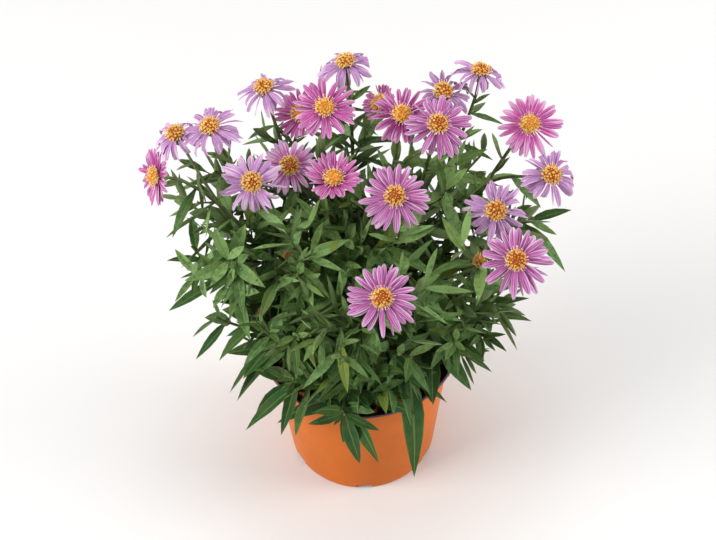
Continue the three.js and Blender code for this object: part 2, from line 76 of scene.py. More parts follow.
# The flowers: the middle of the button, the tilt from upright, the compass angle it leans to
# (270 is the front), the width across the rays, and how far they rise (+) or bend back (-).
Bloom = namedtuple("Bloom", "at tilt to span open shade")
BLOOMS = [
    Bloom((-117, 13, 242), 68, 205, 38, 8, "fresh"),
    Bloom((-109, 61, 232), 16, 205, 38, -36, "old"),
    Bloom((-86, 51, 246), 14, 235, 42, -24, "old"),
    Bloom((-54, 78, 252), 8, 200, 39, -32, "old"),
    Bloom((-33, 80, 228), 28, 250, 35, 18, "fresh"),
    Bloom((-17, 61, 249), 28, 280, 40, 10, "fresh"),
    Bloom((-4, 94, 257), 6, 200, 39, -36, "old"),
    Bloom((16, 81, 234), 40, 205, 27, 34, "fresh"),
    Bloom((29, 55, 247), 28, 270, 38, 6, "fresh"),
    Bloom((56, 83, 240), 14, 260, 39, -20, "old"),
    Bloom((50, 41, 251), 32, 270, 41, -14, "mid"),
    Bloom((80, 95, 246), 8, 60, 38, -30, "old"),
    Bloom((107, 57, 234), 44, 270, 41, 4, "fresh"),
    Bloom((117, 23, 224), 30, 285, 39, -20, "old"),
    Bloom((83, 7, 211), 40, 262, 41, -10, "old"),
    Bloom((90, -38, 217), 38, 268, 43, -2, "mid"),
    Bloom((23, 5, 228), 42, 268, 42, -2, "mid"),
    Bloom((13, -58, 211), 40, 264, 43, -3, "mid"),
    Bloom((-61, 18, 230), 40, 268, 43, -8, "old"),
    Bloom((-40, 46, 216), 36, 272, 36, -2, "mid"),
    Bloom((-13, 29, 221), 14, 270, 38, 34, "fresh"),
]
SEAT_DEPTH = 3.5

# The kinds of shoot. Their leaves stand `spacing` apart from `first` to `last` of the way along,
# each a `turn` round the shoot from the one below, and shrink from `long` to `short`.
Kind = namedtuple("Kind", "radius tip sides segments turn spacing first last long short spread droop")
KINDS = {
    "flowering": Kind(1.9, 1.2, 5, 5, 144, 15, 0.22, 0.88, 44, 17, 58, 0.2),
    "branch": Kind(1.3, 1.0, 4, 3, 90, 15, 0.34, 0.8, 24, 15, 54, 0.2),
    "side": Kind(1.3, 1.0, 4, 2, 90, 9.2, 0.26, 0.97, 38, 22, 60, 0.24),
    "basal": Kind(1.7, 1.2, 4, 3, 90, 6.5, 0.42, 0.97, 52, 32, 66, 0.42),
}
# The bush's reach at the pot's lip, how it widens upwards, and over how much height above the lip its leaves
# go from painted shade to painted light.
BUSH_FOOT, BUSH_SLOPE, LIT_HEIGHT = 66, 0.72, 115
# How far up a flower's shoot its added leaves go, and where added twigs spring from any shoot.
BARE_NECK, TWIGS_AT = 0.72, (0.32, 0.5, 0.68)
CUP_HEIGHT, CUP_MOUTH = 6, 4.4
LEAF_SLENDER, LEAF_SUNK = 3.5, 0.6
LEAF_WAYS = [(turn, lift) for lift in (0, 14, -14) for turn in (0, 16, -16, 32, -32, 50, -50)]
LARGE_SLENDER, LARGE_DROOP, LARGE_SLACK = 4.4, 0.25, 1.06

# The leafy stems: name, distance and compass angle of the root, then the shoots. The first shoot is
# the stem itself. A shoot is its kind, its flower (from 1) or leafy tip, and where it leaves the stem,
# and then its large leaves: how far up the shoot each springs, and where its tip hangs.
STEMS = [
    ("stem_far_left", (25, 172), [
        ("flowering", 1, 0, (0.81, (-107, 0, 208))), ("branch", 2, 0.66),
        ("side", (-84, 6, 176), 0.4), ("side", (-102, 34, 196), 0.5)]),
    ("stem_left", (15, 145), [
        ("flowering", 3, 0), ("branch", 19, 0.55),
        ("side", (-48, -24, 186), 0.44), ("side", (-66, 4, 160), 0.3)]),
    ("stem_left_back", (24, 122), [
        ("flowering", 4, 0, (0.81, (-65, 68, 218))), ("branch", 5, 0.64),
        ("side", (-70, 84, 178), 0.4), ("side", (-78, 40, 186), 0.36)]),
    ("stem_tall", (23, 92), [
        ("flowering", 7, 0, (0.81, (13, 98, 235)), (0.65, (29, 80, 205)), (0.69, (-28, 72, 202)),
         (0.74, (14, 77, 210))),
        ("branch", 6, 0.66), ("branch", 8, 0.72), ("side", (-8, 102, 196), 0.5)]),
    ("stem_upper_middle", (13, 70), [
        ("flowering", 9, 0), ("side", (8, 44, 186), 0.5), ("side", (-10, 4, 192), 0.3)]),
    ("stem_right_back", (26, 55), [
        ("flowering", 12, 0, (0.81, (94, 81, 212)), (0.85, (88, 94, 228)), (0.69, (87, 69, 193))),
        ("branch", 10, 0.62), ("side", (84, 88, 182), 0.42)]),
    ("stem_right_upper", (15, 25), [
        ("flowering", 11, 0), ("side", (62, 22, 186), 0.45), ("side", (54, -18, 168), 0.3),
        ("side", (84, 26, 196), 0.55)]),
    ("stem_far_right", (26, 18), [
        ("flowering", 13, 0, (0.65, (100, 68, 199))), ("branch", 14, 0.6),
        ("side", (111, 36, 170), 0.42, (0.94, (138, 42, 174)), (0.86, (128, 14, 150)))]),
    ("stem_right", (21, 340), [
        ("flowering", 16, 0), ("branch", 15, 0.56),
        ("side", (92, -16, 152), 0.4, (0.8, (106, -12, 152)))]),
    ("stem_middle", (4, 300), [
        ("flowering", 17, 0), ("side", (40, -34, 186), 0.48), ("side", (4, -32, 166), 0.3)]),
    ("stem_front", (21, 278), [
        ("flowering", 18, 0), ("side", (-20, -52, 176), 0.5), ("side", (30, -60, 158), 0.3)]),
    ("stem_inner_left", (8, 185), [
        ("flowering", 21, 0), ("branch", 20, 0.62),
        ("side", (-36, -22, 192), 0.46), ("side", (-40, -44, 158), 0.3)]),
    ("shoots_front", (31, 262), [
        ("basal", (-11, -70, 116), 0),
        ("basal", (32, -48, 132), 0.2, (0.94, (31, -78, 80)), (0.8, (46, -60, 106))),
        ("basal", (-42, -48, 124), 0.22, (0.85, (-69, -68, 103)), (0.94, (-62, -66, 108))),
        ("side", (-12, -62, 142), 0.4), ("side", (8, -46, 136), 0.2)]),
    ("shoots_left", (32, 205), [
        ("basal", (-66, -12, 146), 0), ("side", (-90, -10, 140), 0.4, (0.85, (-101, -25, 121))),
        ("side", (-56, -38, 158), 0.4),
        ("side", (-103, 20, 174), 0.35, (0.95, (-103, 36, 192)), (0.85, (-120, 14, 168)),
         (0.91, (-113, 1, 157)), (0.68, (-117, -6, 144)), (0.77, (-76, 0, 151)))]),
    ("shoots_right", (32, 325), [
        ("side", (62, -30, 142), 0), ("side", (58, -46, 156), 0.4),
        ("side", (88, 0, 132), 0.4, (0.8, (109, -8, 124)))]),
    ("shoots_back", (34, 75), [
        ("basal", (6, 76, 128), 0), ("side", (-44, 74, 142), 0.3), ("side", (52, 80, 140), 0.3)]),
]

# The finer blades. Each share is a blade's width at the station beside it, from root to tip.
LEAF_STATIONS, LEAF_SHARES = (0, 0.08, 0.24, 0.44, 0.64, 0.83, 1), (0.22, 0.32, 0.8, 1, 0.82, 0.46, 0)
RAY_STATIONS, RAY_SHARES = (0, 0.2, 0.46, 0.72, 0.9, 1), (0.4, 0.7, 1, 0.98, 0.66, 0.28)
BRACT_STATIONS, BRACT_SHARES = (0, 0.5, 1), (1, 0.9, 0)

# The rays: how far out and how high they root and bend, and how full their ring is at each age. Those
# that point up are shorter, old ones are limp, and a few are rolled up.
RAY_ROOT, RAY_BEND, RAY_LEVEL, RAY_WIDTH_SPAN = 4.4, 8, 1.2, 42
UPPER_SHORT, OLD_LIMP, ROLLED_SHARE, ROLLED_WIDTH = 0.32, 1.8, 0.07, 0.4
RAY_CROWDS = {"fresh": (0.94, 1.06), "mid": (0.8, 0.95), "old": (0.68, 0.86)}
# Painted light and shade, by flower number: above 0 paints a flower's petals and disc paler, as painted
# light; below 0 paints its petals deeper, as painted shade.
PAINTED_LIGHTING = {1: -0.3, 2: 0.3, 8: -0.15, 9: -0.4, 10: -0.3, 11: -0.15, 13: 0.25, 19: 0.3, 20: 0.6}
BUTTON_BED, BUTTON_RADIUS, BUTTON_RISE, STYLE_COUNT = 2.1, 4.7, 3.2, 30
YELLOW_SHARE = 0.03

# Small leafy side shoots without solids: the stem that each springs from, its tip and its leaves' length.
SPRIGS = [
    ("shoots_right", (76, -29, 134), 30), ("shoots_right", (66, -36, 124), 30),
    ("stem_right", (70, 2, 170), 30), ("stem_right", (88, -14, 146), 26), ("stem_middle", (50, 16, 182), 34),
    ("stem_far_right", (76, 22, 154), 32), ("stem_right_upper", (72, 6, 190), 30),
]
SPRIG_LEAVES, SPRIG_SEED = 9, 90000

# Leaves that hang over the pot's lip: their stem, their root, their tips and how slender they are.
HANGING = [
    ("shoots_front", (-11, -69, 116), [
        (-34, -68, 104), (-12.5, -74, 91), (-2.4, -80, 76), (10.6, -73, 102), (-18, -71, 106),
        (-33, -50, 128), (-2.4, -52, 136), (19.5, -51, 121)], 4.3),
    ("shoots_front", (4, -64, 124), [(33, -64, 105), (22, -58, 132)], 4.4),
    ("shoots_left", (-46, -46, 118), [(-68, -62, 98), (-62, -40, 126)], 3.2),
]
FRONT = np.array((0, -0.6, 0.8))

# Open places in the bush, where no leaves are added: the middle of each and its radius.
CLEARINGS = [((89, 69, 205), 20), ((100, 45, 195), 14), ((-99, 5, 155), 12), ((25, 92, 246), 20)]

# Withered flower heads: the stem that carries each, where it stands, its size and how yellow it is.
DRY_HEADS = [
    ("stem_left", (-41.6, -12.8, 200), 1.3, 0.4), ("shoots_left", (-59.7, -23.4, 160), 1.3, 0.4),
    ("stem_right_upper", (70.9, -23, 200), 2.2, 1.8),
]
DRY_RAYS = 22
GOLDEN_ANGLE = 137.508

# The room that added leaves leave to the pot's lip, its wall, the soil, the flowers and the solids' box.
LIP_ROOM, WALL_ROOM, SOIL_ROOM, HEAD_ROOM, RAY_ROOM, BOX_ROOM = 4, 9, 3, 9, 3, 2
ROOM_BELOW, ROOM_ABOVE = 4, 26

# Loose crumbs of soil: how far out they lie, and where a third of them form a bank at the wall.
CRUMB_REACH, BANK_REACH, BANK_ANGLES, BANK_WIDTH = 56, (42, 55.5), (-155, -5), 12

# The camera, as fitted to the pot's lip and foot in the photograph: the picture's width and the lens in
# pixels, its place, how far down it looks and how far it is rolled. Then the lights, in metres and watts.
PHOTO_WIDTH, LENS_PIXELS, FILM_WIDTH = 716, 1300, 36
CAMERA_AT, CAMERA_DOWN, CAMERA_ROLL = (0, -529.3, 767.6), 48.5, -1.73
LIGHTS = [
    ("key", (-1.4, -0.45, 1.0), 0.9, 21), ("fill", (1.5, -0.1, 0.7), 0.8, 14),
    ("top", (0.1, 0.6, 1.8), 1.0, 10),
]
LIT_PLACE = (0, 0, 0.15)


def linear(colour):
    """A colour written as sRGB hex, such as "d9752f", as linear red, green, blue and alpha."""
    parts = [int(colour[i:i + 2], 16) / 255 for i in (0, 2, 4)]
    return tuple(c / 12.92 if c <= 0.04045 else ((c + 0.055) / 1.055) ** 2.4 for c in parts) + (1.0,)


def colour_property(name, description, colour):
    return bpy.props.FloatVectorProperty(
        name=name, description=description, subtype="COLOR", size=4, min=0, max=1, default=linear(colour))


class AsterColours(bpy.types.PropertyGroup):
    """The colours of the potted aster."""

    pot: colour_property("Pot", "Outside of the pot", "d66c10")
    pot_rim: colour_property("Pot rim", "Top edge of the pot", "957c90")
    pot_inside: colour_property("Pot inside", "Inside of the pot", "2e1c1f")
    soil: colour_property("Soil", "Moist potting mix", "2c1912")
    bark_crumb: colour_property("Bark crumb", "Crumbs of bark in the soil", "b56a42")
    leaf: colour_property("Leaf", "Upper side of a grown leaf", "317a2a")
    leaf_dull: colour_property("Dull leaf", "Places on a leaf that begin to yellow and brown", "94853a")
    leaf_young: colour_property("Young leaf", "Upper side of a young leaf", "87993f")
    # Partly painted highlight: high leaves are mixed towards this colour as painted light.
    leaf_pale_and_highlight: colour_property("Pale leaf", "Upper side of a leaf in its palest places", "90ba74")
    leaf_under: colour_property("Leaf underside", "Underside of a leaf", "7f935f")
    leaf_vein: colour_property("Leaf vein", "Midrib and side veins of a leaf", "94b466")
    wood: colour_property("Stem", "Green part of a stem", "5d7538")
    wood_old: colour_property("Old stem", "Brown part of a stem", "4b4a2a")
    rays_fresh: colour_property("Fresh rays", "Rays of a newly opened flower", "bc3f98")
    rays_mid: colour_property("Grown rays", "Rays of a grown flower", "b3539d")
    rays_old: colour_property("Old rays", "Rays of an old flower", "b07ab3")
    ray_pale: colour_property("Ray edge", "Pale edges and tip of a ray", "f2cfec")
    ray_pink: colour_property("Fresh ray edge", "Pale edges and tip of a fresh ray", "f1c6e6")
    floret: colour_property("Open floret", "Open disc florets", "ffdf80")
    floret_bud: colour_property("Closed floret", "Closed disc florets at the middle", "ffb63c")
    # Painted shade: the colour deep between the florets, at their feet and on the dome.
    floret_gap_shade: colour_property("Between florets", "Depth between the disc florets", "a85512")
    style: colour_property("Style", "Pale styles that stand out of the florets", "fff0ea")
    dry: colour_property("Withered", "Withered flower heads", "8a5a36")


class AsterSizes(bpy.types.PropertyGroup):
    """The sizes and counts of the potted aster's finer pieces."""

    leaf_thickness: bpy.props.FloatProperty(
        name="Leaf thickness", description="Thickness of a leaf at its midrib", unit="LENGTH",
        default=0.5 * MM, min=0.2 * MM, max=1.0 * MM)
    ray_thickness: bpy.props.FloatProperty(
        name="Ray thickness", description="Thickness of a ray petal", unit="LENGTH",
        default=0.35 * MM, min=0.2 * MM, max=1.0 * MM)
    ray_width: bpy.props.FloatProperty(
        name="Ray width", description="Width of a ray petal of a 42 mm flower", unit="LENGTH",
        default=4.0 * MM, min=2.0 * MM, max=6.0 * MM)
    ray_count: bpy.props.IntProperty(
        name="Rays", description="Ray petals of a crowded flower", default=28, min=8, max=40)
    floret_count: bpy.props.IntProperty(
        name="Disc florets", description="Disc florets of one flower", default=54, min=20, max=120)
    tuft_share: bpy.props.FloatProperty(
        name="Tufts", description="Share of the leaves with a leafy tuft in the axil", subtype="FACTOR",
        default=0.4, min=0, max=1)
    crumb_count: bpy.props.IntProperty(
        name="Crumbs", description="Loose crumbs on the soil", default=1400, min=0, max=3000)


def shaded(colour, share):
    """A linear colour made darker or lighter by a share."""
    return tuple(min(1, share * c) for c in colour[:3]) + (1.0,)


def deselect():
    if bpy.context.object and bpy.context.object.mode != "OBJECT":
        bpy.ops.object.mode_set(mode="OBJECT")
    bpy.ops.object.select_all(action="DESELECT")


def chance(*numbers):
    """A number from 0 to 1 that is always the same for the same whole numbers."""
    state = 2166136261
    for number in numbers:
        state = (state ^ number) * 16777619 & 0xFFFFFFFF
        state ^= state >> 13
        state = state * 1540483477 & 0xFFFFFFFF
        state ^= state >> 15
    return state / 4294967296


def mix(a, b, share):
    return a + (b - a) * share


def unit(vector):
    return vector / np.linalg.norm(vector)


def compass(degrees):
    return np.array((math.cos(math.radians(degrees)), math.sin(math.radians(degrees)), 0.0))


def spun(vector, axis, degrees):
    """A vector turned about an axis."""
    turn = math.radians(degrees)
    return (vector * math.cos(turn) + np.cross(axis, vector) * math.sin(turn)
            + axis * (axis @ vector) * (1 - math.cos(turn)))


def bezier(handles, share):
    """Points of a curve with any number of handles, at one share of it or at many."""
    share = np.asarray(share, float)[..., None]
    handles = [np.asarray(handle, float) for handle in handles]
    while len(handles) > 1:
        handles = [a + (b - a) * share for a, b in zip(handles, handles[1:])]
    return handles[0]


def tangent(handles, share):
    steps = [np.asarray(b, float) - np.asarray(a, float) for a, b in zip(handles, handles[1:])]
    way = bezier(steps, share)
    return way / np.linalg.norm(way, axis=-1, keepdims=True)


def facing(bloom):
    tilt = math.radians(bloom.tilt)
    return UP * math.cos(tilt) + compass(bloom.to) * math.sin(tilt)


def seat_of(bloom):
    """Where a flower's ring of rays sits on its green cup."""
    return np.array(bloom.at, float) - SEAT_DEPTH * facing(bloom)


def flower_frame(bloom):
    """The directions of a flower's own X, Y and Z, as the columns of a matrix."""
    return np.array(Vector(UP).rotation_difference(Vector(facing(bloom))).to_matrix())


Shoot = namedtuple("Shoot", "line kind bloom stations large")
Leaf = namedtuple("Leaf", "root along out spread length droop slender")


def middle_of(shoot, at):
    """The middle of a shoot's solid, which runs straight from ring to ring."""
    following = next(i for i, station in enumerate(shoot.stations) if station > at)
    low, high = shoot.stations[following - 1], shoot.stations[following]
    return mix(bezier(shoot.line, low), bezier(shoot.line, high), (at - low) / (high - low))


def line_of(root, goal, start_at, trunk):
    """The curve that a shoot grows along, from the soil or from part of the way up its stem."""
    bloom = BLOOMS[goal - 1] if isinstance(goal, int) else None
    end = seat_of(bloom) - GAP * facing(bloom) if bloom else np.array(goal, float)
    if trunk:
        start = middle_of(trunk, start_at)
        first = unit(unit(end - start) + tangent(trunk.line, start_at))
        first = start + first * 0.35 * np.linalg.norm(end - start)
    else:
        start = compass(root[1]) * root[0] + UP * (SOIL_TOP - HOLE_DEPTH + GAP)
        first = mix(start, end, 0.18)
        first[2] = start[2] + max(0.4 * (end[2] - start[2]), 28)
    arrival = facing(bloom) if bloom else unit(end - first) + 0.35 * UP
    return [start, first, end - unit(arrival) * 0.22 * np.linalg.norm(end - start), end]


def shoots_of(root, listed):
    shoots = []
    for kind_name, goal, start_at, *large in listed:
        kind = KINDS[kind_name]
        line = line_of(root, goal, start_at, shoots[0] if shoots else None)
        stations = [i / kind.segments for i in range(kind.segments + 1)]
        bloom = BLOOMS[goal - 1] if isinstance(goal, int) else None
        if bloom:
            stations[-1:] = [1 - CUP_HEIGHT / (3 * np.linalg.norm(line[3] - line[2])), 1]
        shoots.append(Shoot(line, kind, bloom, stations, large))
    return shoots


def frame_of(line):
    """The directions along a shoot's chord and out from it."""
    along = unit(line[-1] - line[0])
    side = np.array((1.0, 0, 0)) if abs(along[0]) < 0.7 else np.array((0, 1.0, 0))
    across = unit(side - along * (side @ along))
    return along, np.cross(across, along)


def leaves_of(shoot, stem_number, shoot_number):
    """The leaves of one shoot, in a spiral round it, each with its size and its place."""
    kind = shoot.kind
    rule = bezier(shoot.line, np.linspace(0, 1, 201))
    length = np.linalg.norm(np.diff(rule, axis=0), axis=1).sum()
    count = math.floor((kind.last - kind.first) * length / kind.spacing + 0.5) + 1
    along, out = frame_of(shoot.line)
    leaves = []
    for i in range(count):
        draw = partial(chance, stem_number, shoot_number, i)
        share = i / (count - 1) if count > 1 else 0
        at = mix(kind.first, kind.last, share)
        turn = (i + stem_number) * kind.turn + 180 / kind.sides + 8 * (draw(1) - 0.5)
        away = spun(out, along, turn)
        leaves.append(Leaf(
            middle_of(shoot, at) - away * LEAF_SUNK * mix(kind.radius, kind.tip, at),
            tangent(shoot.line, at), away, kind.spread * mix(1.1, 0.8, share) + 12 * (draw(2) - 0.5),
            mix(kind.long, kind.short, share) * mix(0.88, 1.12, draw(3)),
            kind.droop * mix(0.5, 1.5, draw(4)), LEAF_SLENDER))
    return leaves


def large_leaf(shoot, at, tip):
    """A large leaf, from how far up its shoot it springs and where its tip hangs."""
    root = middle_of(shoot, at)
    reach = np.array(tip, float) - root
    length = np.linalg.norm(reach) * LARGE_SLACK
    aim = unit(reach + UP * LARGE_DROOP * length)
    return Leaf(root, UP, aim, math.degrees(math.acos(aim[2])), length, LARGE_DROOP, LARGE_SLENDER)


def leaf_line(leaf, turn=0, lift=0):
    """A leaf's arched line and the direction across it, for one way of bending it clear."""
    away = unit(leaf.out - leaf.along * (leaf.out @ leaf.along))
    away = spun(away, leaf.along, turn)
    lean = math.radians(leaf.spread + lift)
    aim = leaf.along * math.cos(lean) + away * math.sin(lean)
    knee = leaf.root + aim * 0.5 * leaf.length
    tip = leaf.root + aim * 0.96 * leaf.length - UP * leaf.droop * leaf.length
    return [leaf.root, knee, tip], unit(np.cross(aim, leaf.along))


def tips_of(node):
    """The corners of a CAD node, to be looked up by place."""
    places = [vertex.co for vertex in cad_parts[node].data.vertices]
    tree = KDTree(len(places))
    for i, place in enumerate(places):
        tree.insert(place, i)
    tree.balance()
    return tree


def settled_line(leaf, corners):
    """A leaf's line in the way that its CAD solid was bent, or None where it has no solid."""
    reach = 0.25 * MM
    for turn, lift in LEAF_WAYS:
        line, across = leaf_line(leaf, turn, lift)
        if corners.find(Vector(line[-1] * MM))[2] < reach:
            return line, across
    return None


Blank = namedtuple("Blank", "points faces under")


def take(blank):
    """The corners and faces of a finished blank, which is then removed."""
    mesh = blank.data
    points = np.array([vertex.co for vertex in mesh.vertices])
    faces = [tuple(face.vertices) for face in mesh.polygons]
    under = [float(face.normal.z < 0) for face in mesh.polygons]
    bpy.data.objects.remove(blank)
    bpy.data.meshes.remove(mesh)
    return Blank(points, faces, under)


def blade_blank(stations, columns, pointed):
    """A flat blade from 0 to 1 along Y and -1 to 1 across, doubled below and closed along its rim.

    One that isn't pointed ends in a shallow notch between two rounded lobes.
    """
    deselect()
    rows = len(stations) - 1
    bpy.ops.mesh.primitive_grid_add(x_subdivisions=columns, y_subdivisions=rows, size=2)
    blade = bpy.context.object
    for vertex in blade.data.vertices:
        vertex.co.y = stations[round((vertex.co.y + 1) / 2 * rows)]
        if pointed and vertex.co.y == 1:
            vertex.co.x = 0
        elif vertex.co.y == 1:
            vertex.co.y = 1 - 0.05 * abs(2 * abs(vertex.co.x) - 1)
    bpy.ops.object.mode_set(mode="EDIT")
    bpy.ops.mesh.duplicate()
    bpy.ops.mesh.flip_normals()
    bpy.ops.object.mode_set(mode="OBJECT")
    for vertex in blade.data.vertices:
        if vertex.select and abs(vertex.co.x) < 0.999 and 0 < vertex.co.y < 0.949:
            vertex.co.z = -1
    bpy.ops.object.mode_set(mode="EDIT")
    bpy.ops.mesh.select_all(action="SELECT")
    bpy.ops.mesh.remove_doubles(threshold=0.001)
    bpy.ops.object.mode_set(mode="OBJECT")
    return take(blade)


def turned(profile, sides):
    """A solid drawn up ring by ring from its foot. The profile is a list of radius and height."""
    deselect()
    radius, height = profile[0]
    bpy.ops.mesh.primitive_circle_add(
        vertices=sides, radius=radius, fill_type="NGON", location=(0, 0, 0))
    solid = bpy.context.object
    bpy.ops.object.mode_set(mode="EDIT")
    bpy.ops.mesh.select_all(action="SELECT")
    bpy.ops.transform.translate(value=(0, 0, height))
    for wider, higher in profile[1:]:
        bpy.ops.mesh.extrude_region_move(TRANSFORM_OT_translate={"value": (0, 0, higher - height)})
        share = wider / radius
        bpy.ops.transform.resize(value=(share, share, 1), center_override=(0, 0, higher))
        radius, height = wider, higher
    bpy.ops.mesh.select_all(action="SELECT")
    bpy.ops.mesh.normals_make_consistent(inside=False)
    bpy.ops.object.mode_set(mode="OBJECT")
    return solid


class Gathering:
    """Shapes in millimetres gathered for one piece, each with its marks for the material."""

    def __init__(self):
        self.points, self.faces, self.slots, self.under = [], [], [], []
        self.spots, self.tones, self.youths = [], [], []
        self.count = 0

    def add(self, points, blank, slot=0, tone=0.5, youth=0.0, spots=None):
        self.points.append(points)
        self.faces += [tuple(corner + self.count for corner in face) for face in blank.faces]
        self.slots += [slot] * len(blank.faces)
        self.under += blank.under
        self.spots.append(np.zeros((len(points), 2)) if spots is None else spots)
        self.tones.append(np.broadcast_to(tone, len(points)))
        self.youths.append(np.broadcast_to(youth, len(points)))
        self.count += len(points)

    def piece(self, name, materials):
        mesh = bpy.data.meshes.new(name)
        mesh.from_pydata(np.concatenate(self.points) * MM, [], self.faces)
        mesh.polygons.foreach_set("material_index", self.slots)
        corners = np.zeros(len(mesh.loops), int)
        mesh.loops.foreach_get("vertex_index", corners)
        spots = np.concatenate(self.spots)[corners]
        mesh.uv_layers.new(name="blade").data.foreach_set("uv", spots.ravel())
        for mark, domain, values in (
                ("tone", "POINT", np.concatenate(self.tones)),
                ("youth", "POINT", np.concatenate(self.youths)),
                ("under", "FACE", self.under)):
            mesh.attributes.new(mark, "FLOAT", domain).data.foreach_set("value", values)
        for material in materials:
            mesh.materials.append(material)
        piece = bpy.data.objects.new(name, mesh)
        bpy.context.scene.collection.objects.link(piece)
        return smoothed(piece)


def smoothed(piece, angle=50):
    deselect()
    piece.select_set(True)
    bpy.context.view_layer.objects.active = piece
    bpy.ops.object.shade_smooth_by_angle(angle=math.radians(angle))
    return piece


def dress(piece, slot, *nodes):
    """Seats a finished piece on the plant's body, in place of its CAD nodes."""
    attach(piece, "root")
    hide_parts(*nodes)


def fill(node, inputs):
    """Fills a node's inputs with values, outputs, or nodes, each of which gives its first output."""
    for name, value in inputs.items():
        if isinstance(value, bpy.types.Node):
            value = next(socket for socket in value.outputs if socket.enabled)
        if isinstance(value, bpy.types.NodeSocket):
            node.id_data.links.new(value, node.inputs[name])
        else:
            node.inputs[name].default_value = value


def add(tree, kind, inputs=None, **settings):
    """Adds a shader node with its settings, and fills its inputs."""
    node = tree.nodes.new("ShaderNode" + kind)
    for name, value in settings.items():
        setattr(node, name, value)
    fill(node, inputs or {})
    return node


def material_of(name):
    """A new material with its node tree and its shader, whose inputs are left to fill in."""
    material = bpy.data.materials.new(name)
    material.use_nodes = True
    return material, material.node_tree, material.node_tree.nodes["Principled BSDF"]


def leaf_tissue(colours):
    """Living leaf: satin and a little downy above, paler below, mottled, with light veins and rim.

    The down is drawn coarser than real, so that it shows. Painted light and shade tint it by height, and its
    pale rim is a painted highlight.
    """
    material, tree, shader = material_of("leaf_tissue")
    split = add(tree, "SeparateXYZ", {"Vector": add(tree, "UVMap", uv_map="blade")})
    place = add(tree, "TexCoord").outputs["Object"]
    tone, youth, under = [
        add(tree, "Attribute", attribute_name=mark).outputs["Fac"] for mark in ("tone", "youth", "under")]
    blotch = add(tree, "TexNoise", {"Vector": place, "Scale": 1 / (4 * MM), "Detail": 5, "Roughness": 0.75})
    spread = add(tree, "MapRange", {
        "Value": blotch, "From Min": 0.35, "From Max": 0.65, "To Min": 0.15, "To Max": 1.25})
    # Painted light and shade: the tone, set by height and at random, mixes a darker copy of the leaf colour,
    # painted shade, towards the pale colour, which is partly painted highlight.
    share = add(tree, "Math", {0: tone, 1: spread}, operation="MULTIPLY")
    grown = add(tree, "Mix", {
        "Factor": share, "A": shaded(colours.leaf, 0.4), "B": colours.leaf_pale_and_highlight}, data_type="RGBA")
    age = add(tree, "TexNoise", {"Vector": place, "Scale": 1 / (16 * MM), "Detail": 3})
    dull = add(tree, "MapRange", {
        "Value": age, "From Min": 0.5, "From Max": 0.7, "To Min": 0.0, "To Max": 0.25})
    dulled = add(tree, "Mix", {
        "Factor": dull, "A": grown, "B": shaded(colours.leaf_dull, 0.6)}, data_type="RGBA")
    young = add(tree, "Mix", {"Factor": youth, "A": dulled, "B": colours.leaf_young}, data_type="RGBA")
    middle = add(tree, "Math", {0: split.outputs["X"], 1: 0.5}, operation="SUBTRACT")
    aside = add(tree, "Math", {0: middle}, operation="ABSOLUTE")
    rib = add(tree, "MapRange", {
        "Value": aside, "From Min": 0.03, "From Max": 0.08, "To Min": 1.0, "To Max": 0.0})
    slant = add(tree, "Math", {0: split.outputs["Y"], 1: aside}, operation="SUBTRACT")
    waves = add(tree, "Math", {0: slant, 1: 62.0}, operation="MULTIPLY")
    ripple = add(tree, "Math", {0: waves}, operation="SINE")
    side_vein = add(tree, "MapRange", {
        "Value": ripple, "From Min": 0.8, "From Max": 1.0, "To Min": 0.0, "To Max": 0.35})
    vein = add(tree, "Math", {0: rib, 1: side_vein}, operation="MAXIMUM")
    # Painted highlight: a pale band along the leaf's edge, drawn in the vein colour.
    margin_highlight = add(tree, "MapRange", {
        "Value": aside, "From Min": 0.4, "From Max": 0.5, "To Min": 0.0, "To Max": 0.7})
    light = add(tree, "Math", {0: vein, 1: margin_highlight}, operation="MAXIMUM")
    shown = add(tree, "Math", {0: light, 1: 0.36}, operation="MULTIPLY")
    veined = add(tree, "Mix", {"Factor": shown, "A": young, "B": colours.leaf_vein}, data_type="RGBA")
    below = add(tree, "Math", {0: under, 1: 0.8}, operation="MULTIPLY")
    sided = add(tree, "Mix", {"Factor": below, "A": veined, "B": colours.leaf_under}, data_type="RGBA")
    down = add(tree, "TexNoise", {"Vector": place, "Scale": 1 / (0.5 * MM), "Detail": 2})
    height = add(tree, "Math", {0: down, 1: vein}, operation="SUBTRACT")
    bump = add(tree, "Bump", {"Height": height, "Strength": 0.9, "Distance": 0.4 * MM})
    fill(shader, {"Base Color": sided, "Normal": bump, "Roughness": 0.48, "Specular IOR Level": 0.25})
    return material


def stem_bark(colours):
    """Herbaceous stem: ridged green skin that browns with age."""
    material, tree, shader = material_of("stem_bark")
    place = add(tree, "TexCoord").outputs["Object"]
    stretched = add(tree, "Mapping", {"Vector": place, "Scale": (1, 1, 0.15)})
    streak = add(tree, "TexNoise", {"Vector": stretched, "Scale": 1 / (2 * MM), "Detail": 4})
    share = add(tree, "MapRange", {"Value": streak, "From Min": 0.35, "From Max": 0.65})
    skin = add(tree, "Mix", {"Factor": share, "A": colours.wood, "B": colours.wood_old}, data_type="RGBA")
    bump = add(tree, "Bump", {"Height": streak, "Strength": 0.6, "Distance": 0.2 * MM})
    fill(shader, {"Base Color": skin, "Normal": bump, "Roughness": 0.6})
    return material


